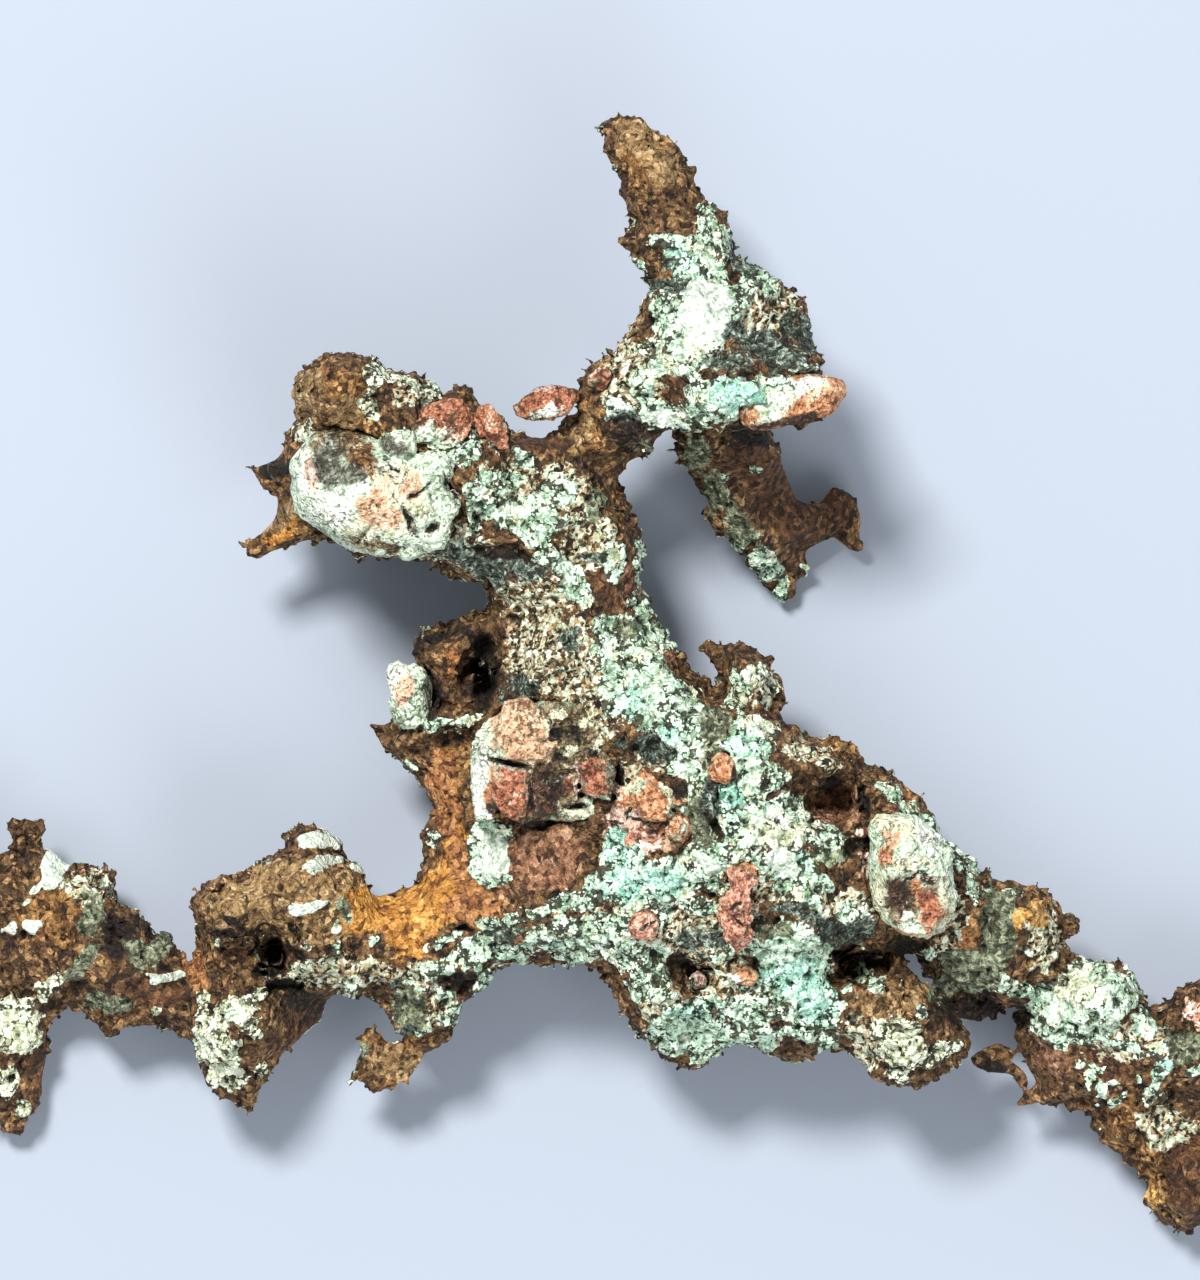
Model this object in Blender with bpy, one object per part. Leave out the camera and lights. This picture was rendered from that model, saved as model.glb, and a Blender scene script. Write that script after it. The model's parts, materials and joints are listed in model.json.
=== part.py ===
"""A branching native copper nugget with pieces of rock held in it, lying on its back.

Lengths are drawn in millimetres and turned into Blender's metres by MM when a mesh is made.
+Z is up and X runs along the nugget. The origin is the middle of its footprint, at z = 0.

Each branch of copper is a relief: an outline seen from above, with an upper and a lower side whose
heights come from a few levels, from lumps, pits and ridges, and from a fine seeded roughness.
Branches meet at forks, and each rock sits in a socket cut for it.
"""
import math

import bmesh
import bpy
from mathutils import Euler, Matrix, Vector, noise
from mathutils.geometry import delaunay_2d_cdt

MM = 0.001

# Driving dimensions, in millimetres
NUGGET_LENGTH = 142.0      # along X, end to end
NUGGET_WIDTH = 112.0       # along Y, spire tip to right end
FORK_GAP = 0.3             # clearance between two branches at their fork
SOCKET_GAP = 0.35          # clearance of a rock in its socket
UPPER_SPACING = 2.2        # distance between the points of an upper side
LOWER_SPACING = 3.4        # distance between the points of a lower side
EDGE_SPACING = 2.3         # distance between the points of an edge
TEAR = 0.5                 # how far a torn edge wanders from its outline
ROUGHNESS_HEIGHT = 0.6     # height of the crumbly surface
ROUGHNESS_LENGTH = 4.0     # distance between its crests
RIM_SHARE = 0.3            # share of the thickness that is left at a free edge
RIM_WIDTH = 2.8            # distance over which an edge reaches its full thickness
THINNEST = 0.9             # least thickness of any branch
LEDGE_UNDERSIDE = 24.6     # height of the overhanging ledge above the blade below it
BLADE_CEILING = 24.2       # highest that the blade reaches, just under the ledge

ALL_TRIANGLES = 0          # delaunay_2d_cdt's output type that keeps every triangle

# Forks: the lines along which one branch meets the next
LEFT_END_FORK = [(-43.3, -29.0), (-43.3, -36.2)]
BLOCK_FORK = [(-24.5, -21.9), (-25.0, -31.7)]
COLUMN_FORK = [(-19.3, -18.5), (-15.6, -19.1), (-15.6, -12.3), (-15.2, -6.5), (-12.8, -3.0), (-12.3, 6.5)]
TRUNK_FORK = [(-12.3, 6.5), (3.0, 6.5)]
HEAD_FORK = [(-11.0, 24.3), (-14.6, 10.0)]
SPIRE_FORK = [(-4.0, 26.3), (3.0, 22.5)]
SHOULDER_FORK = [(25.2, -8.8), (23.6, -15.3), (23.0, -26.3), (27.8, -27.3)]
RIGHT_END_FORK = [(46.8, -28.8), (40.5, -33.5)]
FORKS = [
    LEFT_END_FORK, BLOCK_FORK, COLUMN_FORK, TRUNK_FORK,
    HEAD_FORK, SPIRE_FORK, SHOULDER_FORK, RIGHT_END_FORK,
]

# Levels at the forks, shared by the branches that meet there: x, y, lower side, upper side
LEFT_END_LEVELS = [(-43.3, -32.6, 3.5, 12.5)]
BLOCK_LEVELS = [(-24.8, -26.8, 8.0, 19.0)]
COLUMN_LEVELS = [(-17.2, -18.8, 8.0, 17.5), (-15.4, -9.5, 8.0, 18.0), (-12.6, 2.0, 8.5, 20.0)]
TRUNK_LEVELS = [(-11.0, 6.5, 8.5, 22.0), (-4.6, 6.5, 7.0, 26.0), (2.5, 6.5, 9.0, 22.5)]
HEAD_LEVELS = [(-12.8, 17.2, 9.0, 26.0)]
SPIRE_LEVELS = [(-0.5, 24.4, 13.0, 27.0)]
SHOULDER_LEVELS = [(24.6, -10.5, 9.0, 22.0), (23.2, -20.8, 8.0, 24.5), (27.0, -27.0, 9.0, 20.0)]
RIGHT_END_LEVELS = [(43.7, -31.2, 4.5, 15.0)]

# Outlines, seen from above
LEFT_END_OUTLINE = [
    (-NUGGET_LENGTH / 2, -28.8), (-70.8, -24.3), (-68.0, -20.0), (-65.0, -18.5), (-61.2, -17.1),
    (-61.5, -14.8), (-60.3, -13.5), (-58.2, -13.9), (-58.2, -15.9), (-59.0, -16.8), (-55.7, -19.3),
    (-54.8, -18.5),
    (-52.8, -19.8), (-50.9, -19.8), (-52.0, -21.6), (-50.8, -23.8), (-48.2, -24.0), (-47.4, -26.0),
    (-45.2, -27.3), *LEFT_END_FORK, (-46.0, -35.5), (-50.0, -35.3), (-51.7, -36.1), (-53.2, -34.3),
    (-54.7, -32.3), (-56.5, -33.6), (-58.0, -35.0), (-58.2, -42.3), (-60.0, -44.3), (-60.0, -46.2),
    (-62.0, -46.1), (-65.8, -41.5), (-67.5, -37.3), (-69.2, -33.8),
]
LEFT_BLOCK_OUTLINE = [
    LEFT_END_FORK[1], LEFT_END_FORK[0], (-41.7, -27.3), (-42.6, -22.0), (-41.0, -20.8), (-38.0, -20.2),
    (-35.8, -18.5), (-33.3, -17.3), (-33.9, -15.8), (-32.0, -14.7), (-30.2, -15.3), (-28.3, -16.6),
    (-28.2, -18.3), (-26.4, -18.8), *BLOCK_FORK, (-28.3, -31.3), (-29.8, -32.6), (-30.4, -34.5),
    (-33.7, -37.6), (-35.2, -39.1), (-35.7, -41.1), (-37.1, -44.0), (-39.0, -43.3), (-41.2, -40.6),
    (-42.0, -38.9),
]
COLUMN_OUTLINE = [
    *COLUMN_FORK, (-14.0, 6.3), (-17.3, 4.9), (-19.5, 4.5), (-20.6, 2.9), (-20.0, 1.4), (-21.6, -0.3),
    (-22.0, -3.8), (-23.2, -4.5), (-25.7, -4.5), (-24.2, -6.8), (-21.5, -8.8), (-19.0, -11.3),
    (-18.7, -13.8), (-19.1, -16.3),
]
CENTER_OUTLINE = [
    BLOCK_FORK[1], BLOCK_FORK[0], (-21.5, -21.3), (-20.5, -20.5), *COLUMN_FORK, TRUNK_FORK[1],
    (4.2, 3.7), (5.6, 2.2), (6.5, 0.4), (8.3, -0.5), (9.6, -2.1), (10.2, -1.5), (10.0, 0.5), (8.3, 3.2),
    (10.8, 2.9), (13.2, 2.9), (14.8, 1.0), (16.8, -2.3), (15.3, -3.5), (18.0, -5.9), (22.8, -6.5),
    *SHOULDER_FORK, (28.5, -29.0), (30.0, -30.8), (34.0, -34.5), (35.3, -36.8), (33.5, -38.8),
    (30.0, -41.0), (27.0, -40.3), (22.8, -37.3), (16.5, -37.8), (13.5, -36.8), (10.5, -36.8),
    (7.8, -39.3), (5.0, -38.5), (2.5, -36.8), (0.5, -33.5), (-0.8, -30.8), (-2.0, -29.3), (-4.5, -28.4),
    (-10.0, -28.0), (-12.0, -28.6), (-14.8, -32.1), (-16.5, -32.8), (-17.2, -36.1), (-19.2, -37.3),
    (-21.0, -40.5), (-24.2, -42.1), (-27.3, -40.6), (-26.2, -38.5), (-26.2, -36.6), (-24.8, -35.2),
    (-22.7, -36.6), (-21.0, -36.4), (-23.0, -34.3),
]
TRUNK_OUTLINE = [
    *TRUNK_FORK, (1.8, 9.4), (2.1, 11.7), (2.0, 14.2), (0.5, 17.4), (-0.8, 19.2), (0.8, 21.6),
    SPIRE_FORK[1], SPIRE_FORK[0], (-6.0, 24.7), (-7.5, 23.9), *HEAD_FORK, (-13.0, 8.9),
]
HEAD_OUTLINE = [
    *HEAD_FORK, (-16.5, 9.9), (-18.0, 11.1), (-22.0, 12.4), (-26.5, 12.2), (-28.0, 14.2), (-32.5, 13.7),
    (-36.5, 11.9), (-37.7, 13.4), (-34.5, 15.7), (-34.2, 19.2), (-35.8, 19.5), (-36.8, 20.9),
    (-34.2, 21.7), (-31.7, 25.2), (-32.0, 29.9), (-30.5, 31.2), (-28.0, 32.0), (-24.5, 31.7),
    (-23.6, 30.2), (-19.5, 29.6), (-18.3, 27.2), (-15.7, 28.7), (-13.8, 26.9), (-12.2, 26.2),
]
SPIRE_OUTLINE = [
    *SPIRE_FORK, (3.6, 24.6), (6.0, 25.2), (11.5, 24.7), (16.5, 25.1), (20.0, 25.6), (21.4, 27.6),
    (19.7, 30.2), (20.0, 31.9), (18.0, 34.4), (18.8, 37.1), (17.2, 38.5), (13.5, 40.9), (11.1, 42.2),
    (10.5, 45.5), (8.8, 46.4), (7.2, 48.5), (6.8, 50.7), (5.7, 52.7), (2.0, 55.3), (-0.3, NUGGET_WIDTH / 2),
    (-2.0, 54.9), (-1.4, 52.7), (-0.3, 50.5), (0.8, 46.4), (1.6, 45.2), (0.3, 43.2), (2.0, 42.0),
    (3.2, 39.7), (3.2, 37.7), (0.8, 34.2), (-0.8, 32.4), (-3.3, 30.9), (-4.3, 27.7),
]
BLADE_OUTLINE = [
    (5.6, 22.0), (7.5, 19.5), (9.5, 15.0), (13.0, 12.2), (15.8, 8.2), (17.5, 7.8), (17.7, 9.7),
    (19.0, 10.3), (18.8, 12.5), (21.5, 14.4), (23.7, 12.9), (24.1, 16.2), (23.3, 18.0), (21.5, 19.2),
    (20.3, 17.6), (18.0, 17.7), (16.0, 22.2), (15.0, 24.7), (14.5, 26.4), (5.6, 26.4),
]
SHOULDER_OUTLINE = [
    SHOULDER_FORK[3], SHOULDER_FORK[2], SHOULDER_FORK[1], SHOULDER_FORK[0], (28.5, -10.4), (30.2, -12.8),
    (32.3, -16.8), (34.7, -18.3), (35.8, -20.3), (37.0, -19.5), (38.0, -20.8), (42.2, -20.9),
    (43.0, -22.6), (46.1, -24.8), (44.0, -27.0), *RIGHT_END_FORK, (36.5, -31.3), (33.0, -29.8),
    (30.0, -27.6),
]
UNDER_PLATE_OUTLINE = [
    (29.8, -26.6), (36.0, -27.6), (41.0, -29.6), (40.3, -32.4), (38.5, -33.6), (36.0, -34.4),
    (33.4, -34.2), (31.2, -31.4),
]
RIGHT_END_OUTLINE = [
    RIGHT_END_FORK[1], RIGHT_END_FORK[0], (49.8, -28.9), (51.8, -31.3), (53.0, -33.5), (55.0, -33.1),
    (58.0, -30.8), (60.5, -29.9), (67.0, -32.8), (NUGGET_LENGTH / 2, -37.5),
    (69.2, -40.3), (66.5, -43.3), (62.0, -51.3), (59.5, -54.8), (56.8, -NUGGET_WIDTH / 2), (52.9, -53.0),
    (53.7, -51.3), (51.8, -49.1), (49.0, -46.5), (47.5, -43.8), (45.5, -42.6), (42.0, -42.9),
    (40.0, -43.3), (38.2, -40.4),
    (36.0, -38.8), (36.0, -37.8), (39.2, -37.7), (39.4, -39.6), (40.6, -41.4), (42.3, -41.1),
    (40.7, -38.5), (40.0, -36.3),
]


# Small tools ---------------------------------------------------------------------------------------

def is_fork(start, end):
    """Whether the edge from start to end lies on a fork."""
    for fork in FORKS:
        for a, b in zip(fork, fork[1:]):
            if (start, end) in ((a, b), (b, a)):
                return True
    return False


def counter_clockwise(outline):
    """The outline's points as a tuple list that runs counter-clockwise."""
    area = sum(a[0] * b[1] - b[0] * a[1] for a, b in zip(outline, outline[1:] + outline[:1]))
    return list(outline) if area > 0 else list(outline)[::-1]


def inward(start, end):
    """The unit normal that points to the left of an edge, into a counter-clockwise outline."""
    along = (Vector(end) - Vector(start)).normalized()
    return Vector((-along.y, along.x))


def wander(x, y, seed):
    """A smooth seeded value between about -1 and 1 at a place."""
    return noise.noise(Vector((x, y, 17.0 * seed)))


def distance_to_edge(point, start, end):
    along = end - start
    share = max(0.0, min(1.0, (point - start).dot(along) / along.length_squared))
    return (point - start - share * along).length


def is_inside(point, outline):
    inside = False
    for a, b in zip(outline, outline[1:] + outline[:1]):
        if (a.y > point.y) != (b.y > point.y):
            if point.x < (b.x - a.x) * (point.y - a.y) / (b.y - a.y) + a.x:
                inside = not inside
    return inside


def torn_edges(outline, seed):
    """The outline with its free edges torn and its fork edges drawn back by half a gap.

    Gives the points and, for each, whether the edge that leaves it is free.
    """
    count = len(outline)
    fork = [is_fork(outline[i], outline[(i + 1) % count]) for i in range(count)]
    corners = []
    for i, corner in enumerate(outline):
        normals = []
        if fork[i - 1]:
            normals.append(inward(outline[i - 1], corner))
        if fork[i]:
            normals.append(inward(corner, outline[(i + 1) % count]))
        place = Vector(corner)
        if len(normals) == 1:
            place += normals[0] * FORK_GAP / 2
        elif normals:
            total = normals[0] + normals[1]
            place += total * FORK_GAP / 2 / (1 + normals[0].dot(normals[1]))
        corners.append(place)

    points, free = [], []
    for i, start in enumerate(corners):
        end = corners[(i + 1) % count]
        pieces = max(1, round((end - start).length / EDGE_SPACING))
        normal = inward(start, end)
        for step in range(pieces):
            point = start.lerp(end, step / pieces)
            if step and not fork[i]:
                point += normal * TEAR * 1.6 * wander(point.x, point.y, seed)
            points.append(point)
            free.append(not fork[i])
    return points, free


def scattered(outline, spacing, seed):
    """Points in rows inside the outline, shaken a little, and clear of its edges."""
    low_x, high_x = min(p.x for p in outline), max(p.x for p in outline)
    low_y, high_y = min(p.y for p in outline), max(p.y for p in outline)
    row_height = spacing * 0.87
    points = []
    for row in range(int((high_y - low_y) / row_height) + 1):
        for column in range(int((high_x - low_x) / spacing) + 2):
            x = low_x + (column + 0.5 * (row % 2)) * spacing
            y = low_y + (row + 0.5) * row_height
            shake = 0.45 * spacing
            point = Vector((x + shake * wander(x, y, seed + 0.3), y + shake * wander(x, y, seed + 0.6)))
            if not is_inside(point, outline):
                continue
            edges = zip(outline, outline[1:] + outline[:1])
            if min(distance_to_edge(point, a, b) for a, b in edges) > 0.42 * spacing:
                points.append(point)
    return points


def triangulated(outline, inner):
    """Triangles that fill the outline, as indices into outline followed by inner."""
    whole = list(range(len(outline)))
    points, _, faces, sources, _, parents = delaunay_2d_cdt(
        outline + inner, [], [whole], ALL_TRIANGLES, 1e-6, True)
    if len(points) != len(outline) + len(inner):
        raise ValueError("an outline crosses itself")
    return [[sources[i][0] for i in face] for face, parent in zip(faces, parents) if parent]


# Relief --------------------------------------------------------------------------------------------

def blended_levels(x, y, levels):
    """Lower and upper level at a place, each level weighing less with its distance."""
    total, lower, upper = 0.0, 0.0, 0.0
    for level_x, level_y, level_lower, level_upper in levels:
        weight = ((x - level_x) ** 2 + (y - level_y) ** 2 + 0.6) ** -1.6
        total += weight
        lower += weight * level_lower
        upper += weight * level_upper
    return lower / total, upper / total


def dome(x, y, lump):
    """Height that a rounded lump (x, y, radius, height) adds; a hollow has a negative height."""
    share = ((x - lump[0]) ** 2 + (y - lump[1]) ** 2) / lump[2] ** 2
    return lump[3] * max(0.0, 1.0 - share) ** 1.3


def shaft(x, y, pit):
    """Depth that a steep-walled pit (x, y, half width, half length, depth) takes away."""
    share = ((x - pit[0]) / pit[2]) ** 2 + ((y - pit[1]) / pit[3]) ** 2
    return pit[4] / (1.0 + share ** 3)


def crest(x, y, ridge):
    """Height that a sharp ridge (start, end, half width, height) adds."""
    distance = distance_to_edge(Vector((x, y)), Vector(ridge[0]), Vector(ridge[1]))
    return ridge[3] * max(0.0, 1.0 - distance / ridge[2])


def rim_profile(distance):
    """Share of the full thickness at a distance from a free edge."""
    inset = 1.0 - min(distance / RIM_WIDTH, 1.0)
    return RIM_SHARE + (1.0 - RIM_SHARE) * (1.0 - inset * inset) ** 0.5


class Relief:
    """The upper and lower side of one branch."""

    def __init__(self, levels, seed, lumps=(), pits=(), ridges=(), under_lumps=(),
                 roughness=ROUGHNESS_HEIGHT, ceiling=None, ledge=None):
        self.levels = levels
        self.seed = seed
        self.lumps = lumps
        self.pits = pits
        self.ridges = ridges
        self.under_lumps = under_lumps
        self.roughness = roughness
        self.ceiling = ceiling
        self.ledge = ledge

    def heights(self, point, free_edges):
        """Lower and upper height at a point."""
        x, y = point
        lower, upper = blended_levels(x, y, self.levels)
        middle = (lower + upper) / 2
        distance = min((distance_to_edge(point, a, b) for a, b in free_edges), default=RIM_WIDTH)
        share = rim_profile(distance)
        scale = 1 / ROUGHNESS_LENGTH
        crumble = self.roughness * (wander(x * scale, y * scale, self.seed)
                                    + 0.6 * wander(x * scale * 2.3, y * scale * 2.3, self.seed + 5))
        upper += sum(dome(x, y, lump) for lump in self.lumps)
        upper += sum(crest(x, y, ridge) for ridge in self.ridges)
        upper -= sum(shaft(x, y, pit) for pit in self.pits)
        lower -= sum(dome(x, y, lump) for lump in self.under_lumps)
        upper = middle + (upper - middle) * share + 1.3 * crumble
        lower = middle + (lower - middle) * share + 1.5 * self.roughness * wander(
            x * scale * 0.8, y * scale * 0.8, self.seed + 9)
        if self.ceiling is not None:
            upper = min(upper, self.ceiling)
        if self.ledge is not None and x > self.ledge[0] and y < self.ledge[1]:
            lower = max(lower, LEDGE_UNDERSIDE)
            upper = max(upper, LEDGE_UNDERSIDE + 2 * THINNEST)
        lower = max(lower, 0.0)
        if upper < lower + THINNEST:
            if self.ceiling is None:
                upper = lower + THINNEST
            else:
                lower = upper - THINNEST
        return lower, upper


def add_object(name, mesh, material):
    thing = bpy.data.objects.new(name, mesh)
    bpy.context.scene.collection.objects.link(thing)
    mesh.materials.append(material)
    return thing


def branch(name, outline, relief, material):
    """One branch of copper: both sides of its relief and the wall around its edge."""
    outline = counter_clockwise(outline)
    edge, free = torn_edges(outline, relief.seed)
    pairs = list(zip(edge, edge[1:] + edge[:1]))
    free_edges = [pair for pair, is_free in zip(pairs, free) if is_free]
    upper_inner = scattered(edge, UPPER_SPACING, relief.seed)
    lower_inner = scattered(edge, LOWER_SPACING, relief.seed + 1)

    mesh = bpy.data.meshes.new(name)
    shape = bmesh.new()
    edge_heights = [relief.heights(point, free_edges) for point in edge]

    def side(inner, which):
        heights = edge_heights + [relief.heights(point, free_edges) for point in inner]
        return [shape.verts.new((p.x * MM, p.y * MM, h[which] * MM)) for p, h in zip(edge + inner, heights)]

    lower = side(lower_inner, 0)
    upper = side(upper_inner, 1)
    for triangle in triangulated(edge, upper_inner):
        shape.faces.new([upper[i] for i in triangle])
    for triangle in triangulated(edge, lower_inner):
        shape.faces.new([lower[i] for i in reversed(triangle)])
    count = len(edge)
    for i in range(count):
        following = (i + 1) % count
        shape.faces.new((lower[i], lower[following], upper[following], upper[i]))
    bmesh.ops.triangulate(shape, faces=shape.faces)
    bmesh.ops.recalc_face_normals(shape, faces=shape.faces)
    shape.to_mesh(mesh)
    shape.free()
    return add_object(name, mesh, material)


# Rocks ---------------------------------------------------------------------------------------------

def pebble(name, place, size, material, turn=0.0, seed=0, breaks=(), detail=2):
    """A worn rock of the given size, turned about Z by degrees.

    Each break is (direction, share): a flat face across that direction, at that share of the radius.
    """
    mesh = bpy.data.meshes.new(name)
    shape = bmesh.new()
    bmesh.ops.create_icosphere(shape, subdivisions=detail, radius=1.0)
    for vertex in shape.verts:
        vertex.co *= 1.0 + 0.14 * noise.noise(vertex.co * 1.4 + Vector((3.1 * seed, 0.0, 0.0)))
    for direction, share in breaks:
        normal = Vector(direction).normalized()
        geometry = list(shape.verts) + list(shape.edges) + list(shape.faces)
        bmesh.ops.bisect_plane(shape, geom=geometry, plane_co=normal * share, plane_no=normal,
                               clear_outer=True)
        open_edges = [e for e in shape.edges if e.is_boundary]
        bmesh.ops.holes_fill(shape, edges=open_edges)
    bmesh.ops.triangulate(shape, faces=shape.faces)
    bmesh.ops.scale(shape, vec=Vector(size) * MM / 2, verts=shape.verts)
    shape.transform(Matrix.Rotation(math.radians(turn), 4, "Z"))
    bmesh.ops.recalc_face_normals(shape, faces=shape.faces)
    shape.to_mesh(mesh)
    shape.free()
    rock = add_object(name, mesh, material)
    rock.location = Vector(place) * MM
    return rock


def crystals(name, place, blocks, material):
    """Small blocky crystals grown together: each is an offset, a size and its three turns in degrees."""
    parts = []
    for number, (offset, size, turns) in enumerate(blocks):
        mesh = bpy.data.meshes.new(f"{name}_{number}")
        shape = bmesh.new()
        bmesh.ops.create_cube(shape, size=1.0)
        bmesh.ops.scale(shape, vec=Vector(size) * MM, verts=shape.verts)
        shape.transform(Euler([math.radians(angle) for angle in turns]).to_matrix().to_4x4())
        bmesh.ops.translate(shape, vec=Vector(offset) * MM, verts=shape.verts)
        bmesh.ops.triangulate(shape, faces=shape.faces)
        shape.to_mesh(mesh)
        shape.free()
        part = add_object(name if number == 0 else f"{name}_{number}", mesh, material)
        part.location = Vector(place) * MM
        parts.append(part)
    for part in parts[1:]:
        combine(parts[0], part, "UNION")
        hide(part)
    return parts[0]


# Joining and cutting -------------------------------------------------------------------------------

def hide(tool):
    """Marks an object as a cutter, which isn't a piece of the nugget."""
    tool.hide_render = True
    tool.display_type = "WIRE"


def combine(target, tool, operation):
    modifier = target.modifiers.new(tool.name, "BOOLEAN")
    modifier.operation = operation
    modifier.solver = "EXACT"
    modifier.object = tool


def settled_mesh(thing):
    """The object's mesh with its modifiers applied, in its own frame."""
    bpy.context.view_layer.update()
    evaluated = thing.evaluated_get(bpy.context.evaluated_depsgraph_get())
    return bpy.data.meshes.new_from_object(evaluated)


def socket_for(rock):
    """A cutter a little larger than the rock's convex hull."""
    shape = bmesh.new()
    for vertex in settled_mesh(rock).vertices:
        shape.verts.new(vertex.co)
    bmesh.ops.convex_hull(shape, input=shape.verts)
    loose = [vertex for vertex in shape.verts if not vertex.link_faces]
    bmesh.ops.delete(shape, geom=loose, context="VERTS")
    bmesh.ops.recalc_face_normals(shape, faces=shape.faces)
    shape.normal_update()
    for vertex, normal in [(v, v.normal.copy()) for v in shape.verts]:
        vertex.co += normal * SOCKET_GAP * 1.2 * MM
    mesh = bpy.data.meshes.new(f"socket_{rock.name}")
    shape.to_mesh(mesh)
    shape.free()
    cutter = add_object(mesh.name, mesh, rock.data.materials[0])
    cutter.location = rock.location
    hide(cutter)
    return cutter


def drop_crumbs(thing):
    """Applies the object's modifiers and keeps only its largest connected body."""
    mesh = settled_mesh(thing)
    thing.modifiers.clear()
    shape = bmesh.new()
    shape.from_mesh(mesh)
    waiting = set(shape.verts)
    bodies = []
    while waiting:
        body, front = set(), [next(iter(waiting))]
        while front:
            vertex = front.pop()
            if vertex not in body:
                body.add(vertex)
                front.extend(edge.other_vert(vertex) for edge in vertex.link_edges)
        waiting -= body
        bodies.append(body)
    largest = max(bodies, key=len)
    crumbs = [vertex for vertex in shape.verts if vertex not in largest]
    bmesh.ops.delete(shape, geom=crumbs, context="VERTS")
    bmesh.ops.triangulate(shape, faces=shape.faces)
    shape.to_mesh(mesh)
    shape.free()
    thing.data = mesh


# Materials -----------------------------------------------------------------------------------------

def material(name, colour, roughness, metallic):
    made = bpy.data.materials.new(name)
    made.use_nodes = True
    shader = made.node_tree.nodes["Principled BSDF"]
    shader.inputs["Base Color"].default_value = (*colour, 1.0)
    shader.inputs["Roughness"].default_value = roughness
    shader.inputs["Metallic"].default_value = metallic
    return made


# Branches ------------------------------------------------------------------------------------------

def left_end(copper):
    levels = LEFT_END_LEVELS + [
        (-47.5, -31.0, 4.0, 11.5), (-52.5, -28.5, 3.0, 11.0), (-58.0, -24.0, 1.5, 10.5),
        (-60.0, -15.5, 6.0, 10.0), (-62.0, -33.0, -2.0, 8.5), (-60.5, -43.0, 0.5, 6.0),
        (-68.0, -27.0, 0.0, 8.0),
    ]
    lumps = [(-56.0, -26.5, 3.2, 1.8), (-61.5, -38.0, 2.6, 1.4), (-65.5, -24.0, 3.0, 1.3),
             (-50.0, -30.0, 2.5, 1.6), (-61.5, -20.0, 2.2, 1.2)]
    pits = [(-53.5, -30.5, 1.3, 1.0, 2.6), (-64.0, -31.0, 1.6, 1.2, 1.8)]
    ridges = [((-49.5, -25.5), (-56.5, -32.0), 1.6, 1.7), ((-46.5, -29.0), (-51.0, -34.0), 1.4, 1.2)]
    return branch("copper_left_end", LEFT_END_OUTLINE,
                  Relief(levels, 1, lumps, pits, ridges), copper)


def left_block(copper):
    levels = LEFT_END_LEVELS + BLOCK_LEVELS + [
        (-39.5, -24.0, 5.0, 21.0), (-33.0, -20.5, 6.0, 22.0), (-31.5, -16.5, 10.0, 19.0),
        (-29.0, -24.5, 7.0, 21.0), (-38.0, -34.0, 4.0, 20.0), (-38.0, -41.0, 5.0, 14.0),
        (-32.0, -33.5, 5.5, 13.0), (-35.0, -37.0, 5.0, 15.0),
    ]
    lumps = [(-39.0, -22.5, 2.6, 1.6), (-31.5, -19.0, 3.0, 2.0), (-28.5, -21.5, 2.6, 1.2),
             (-38.5, -36.5, 3.0, 1.8), (-31.0, -28.0, 2.4, 1.5)]
    pits = [(-35.0, -27.3, 2.0, 1.5, 8.0), (-38.8, -28.0, 1.6, 1.1, 4.0), (-36.0, -23.8, 1.6, 0.9, 2.4)]
    ridges = [((-42.0, -31.0), (-34.0, -30.0), 1.8, 2.2), ((-34.4, -31.0), (-36.5, -41.0), 1.5, 2.6),
              ((-33.0, -25.0), (-27.0, -29.5), 1.6, 1.6)]
    return branch("copper_left_block", LEFT_BLOCK_OUTLINE,
                  Relief(levels, 2, lumps, pits, ridges), copper)


def column(copper):
    levels = COLUMN_LEVELS + [
        (-18.0, -14.0, 8.0, 17.0), (-19.0, -7.5, 8.0, 17.0), (-24.5, -5.3, 11.0, 15.0),
        (-18.5, -2.5, 7.5, 18.0), (-19.0, 2.8, 8.0, 20.0), (-15.0, 5.0, 9.0, 21.0),
    ]
    lumps = [(-17.5, 3.6, 1.8, 1.6), (-20.0, 0.8, 1.6, 1.0)]
    pits = [(-14.4, 1.2, 1.4, 2.8, 8.0), (-17.0, -6.2, 1.2, 0.9, 1.8)]
    ridges = [((-20.0, 3.8), (-14.0, 5.6), 1.0, 1.6), ((-19.5, -4.6), (-13.6, -4.2), 1.1, 1.8),
              ((-16.6, 3.6), (-16.4, -2.8), 0.9, 1.3)]
    return branch("copper_column", COLUMN_OUTLINE,
                  Relief(levels, 3, lumps, pits, ridges, roughness=0.4), copper)


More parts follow.
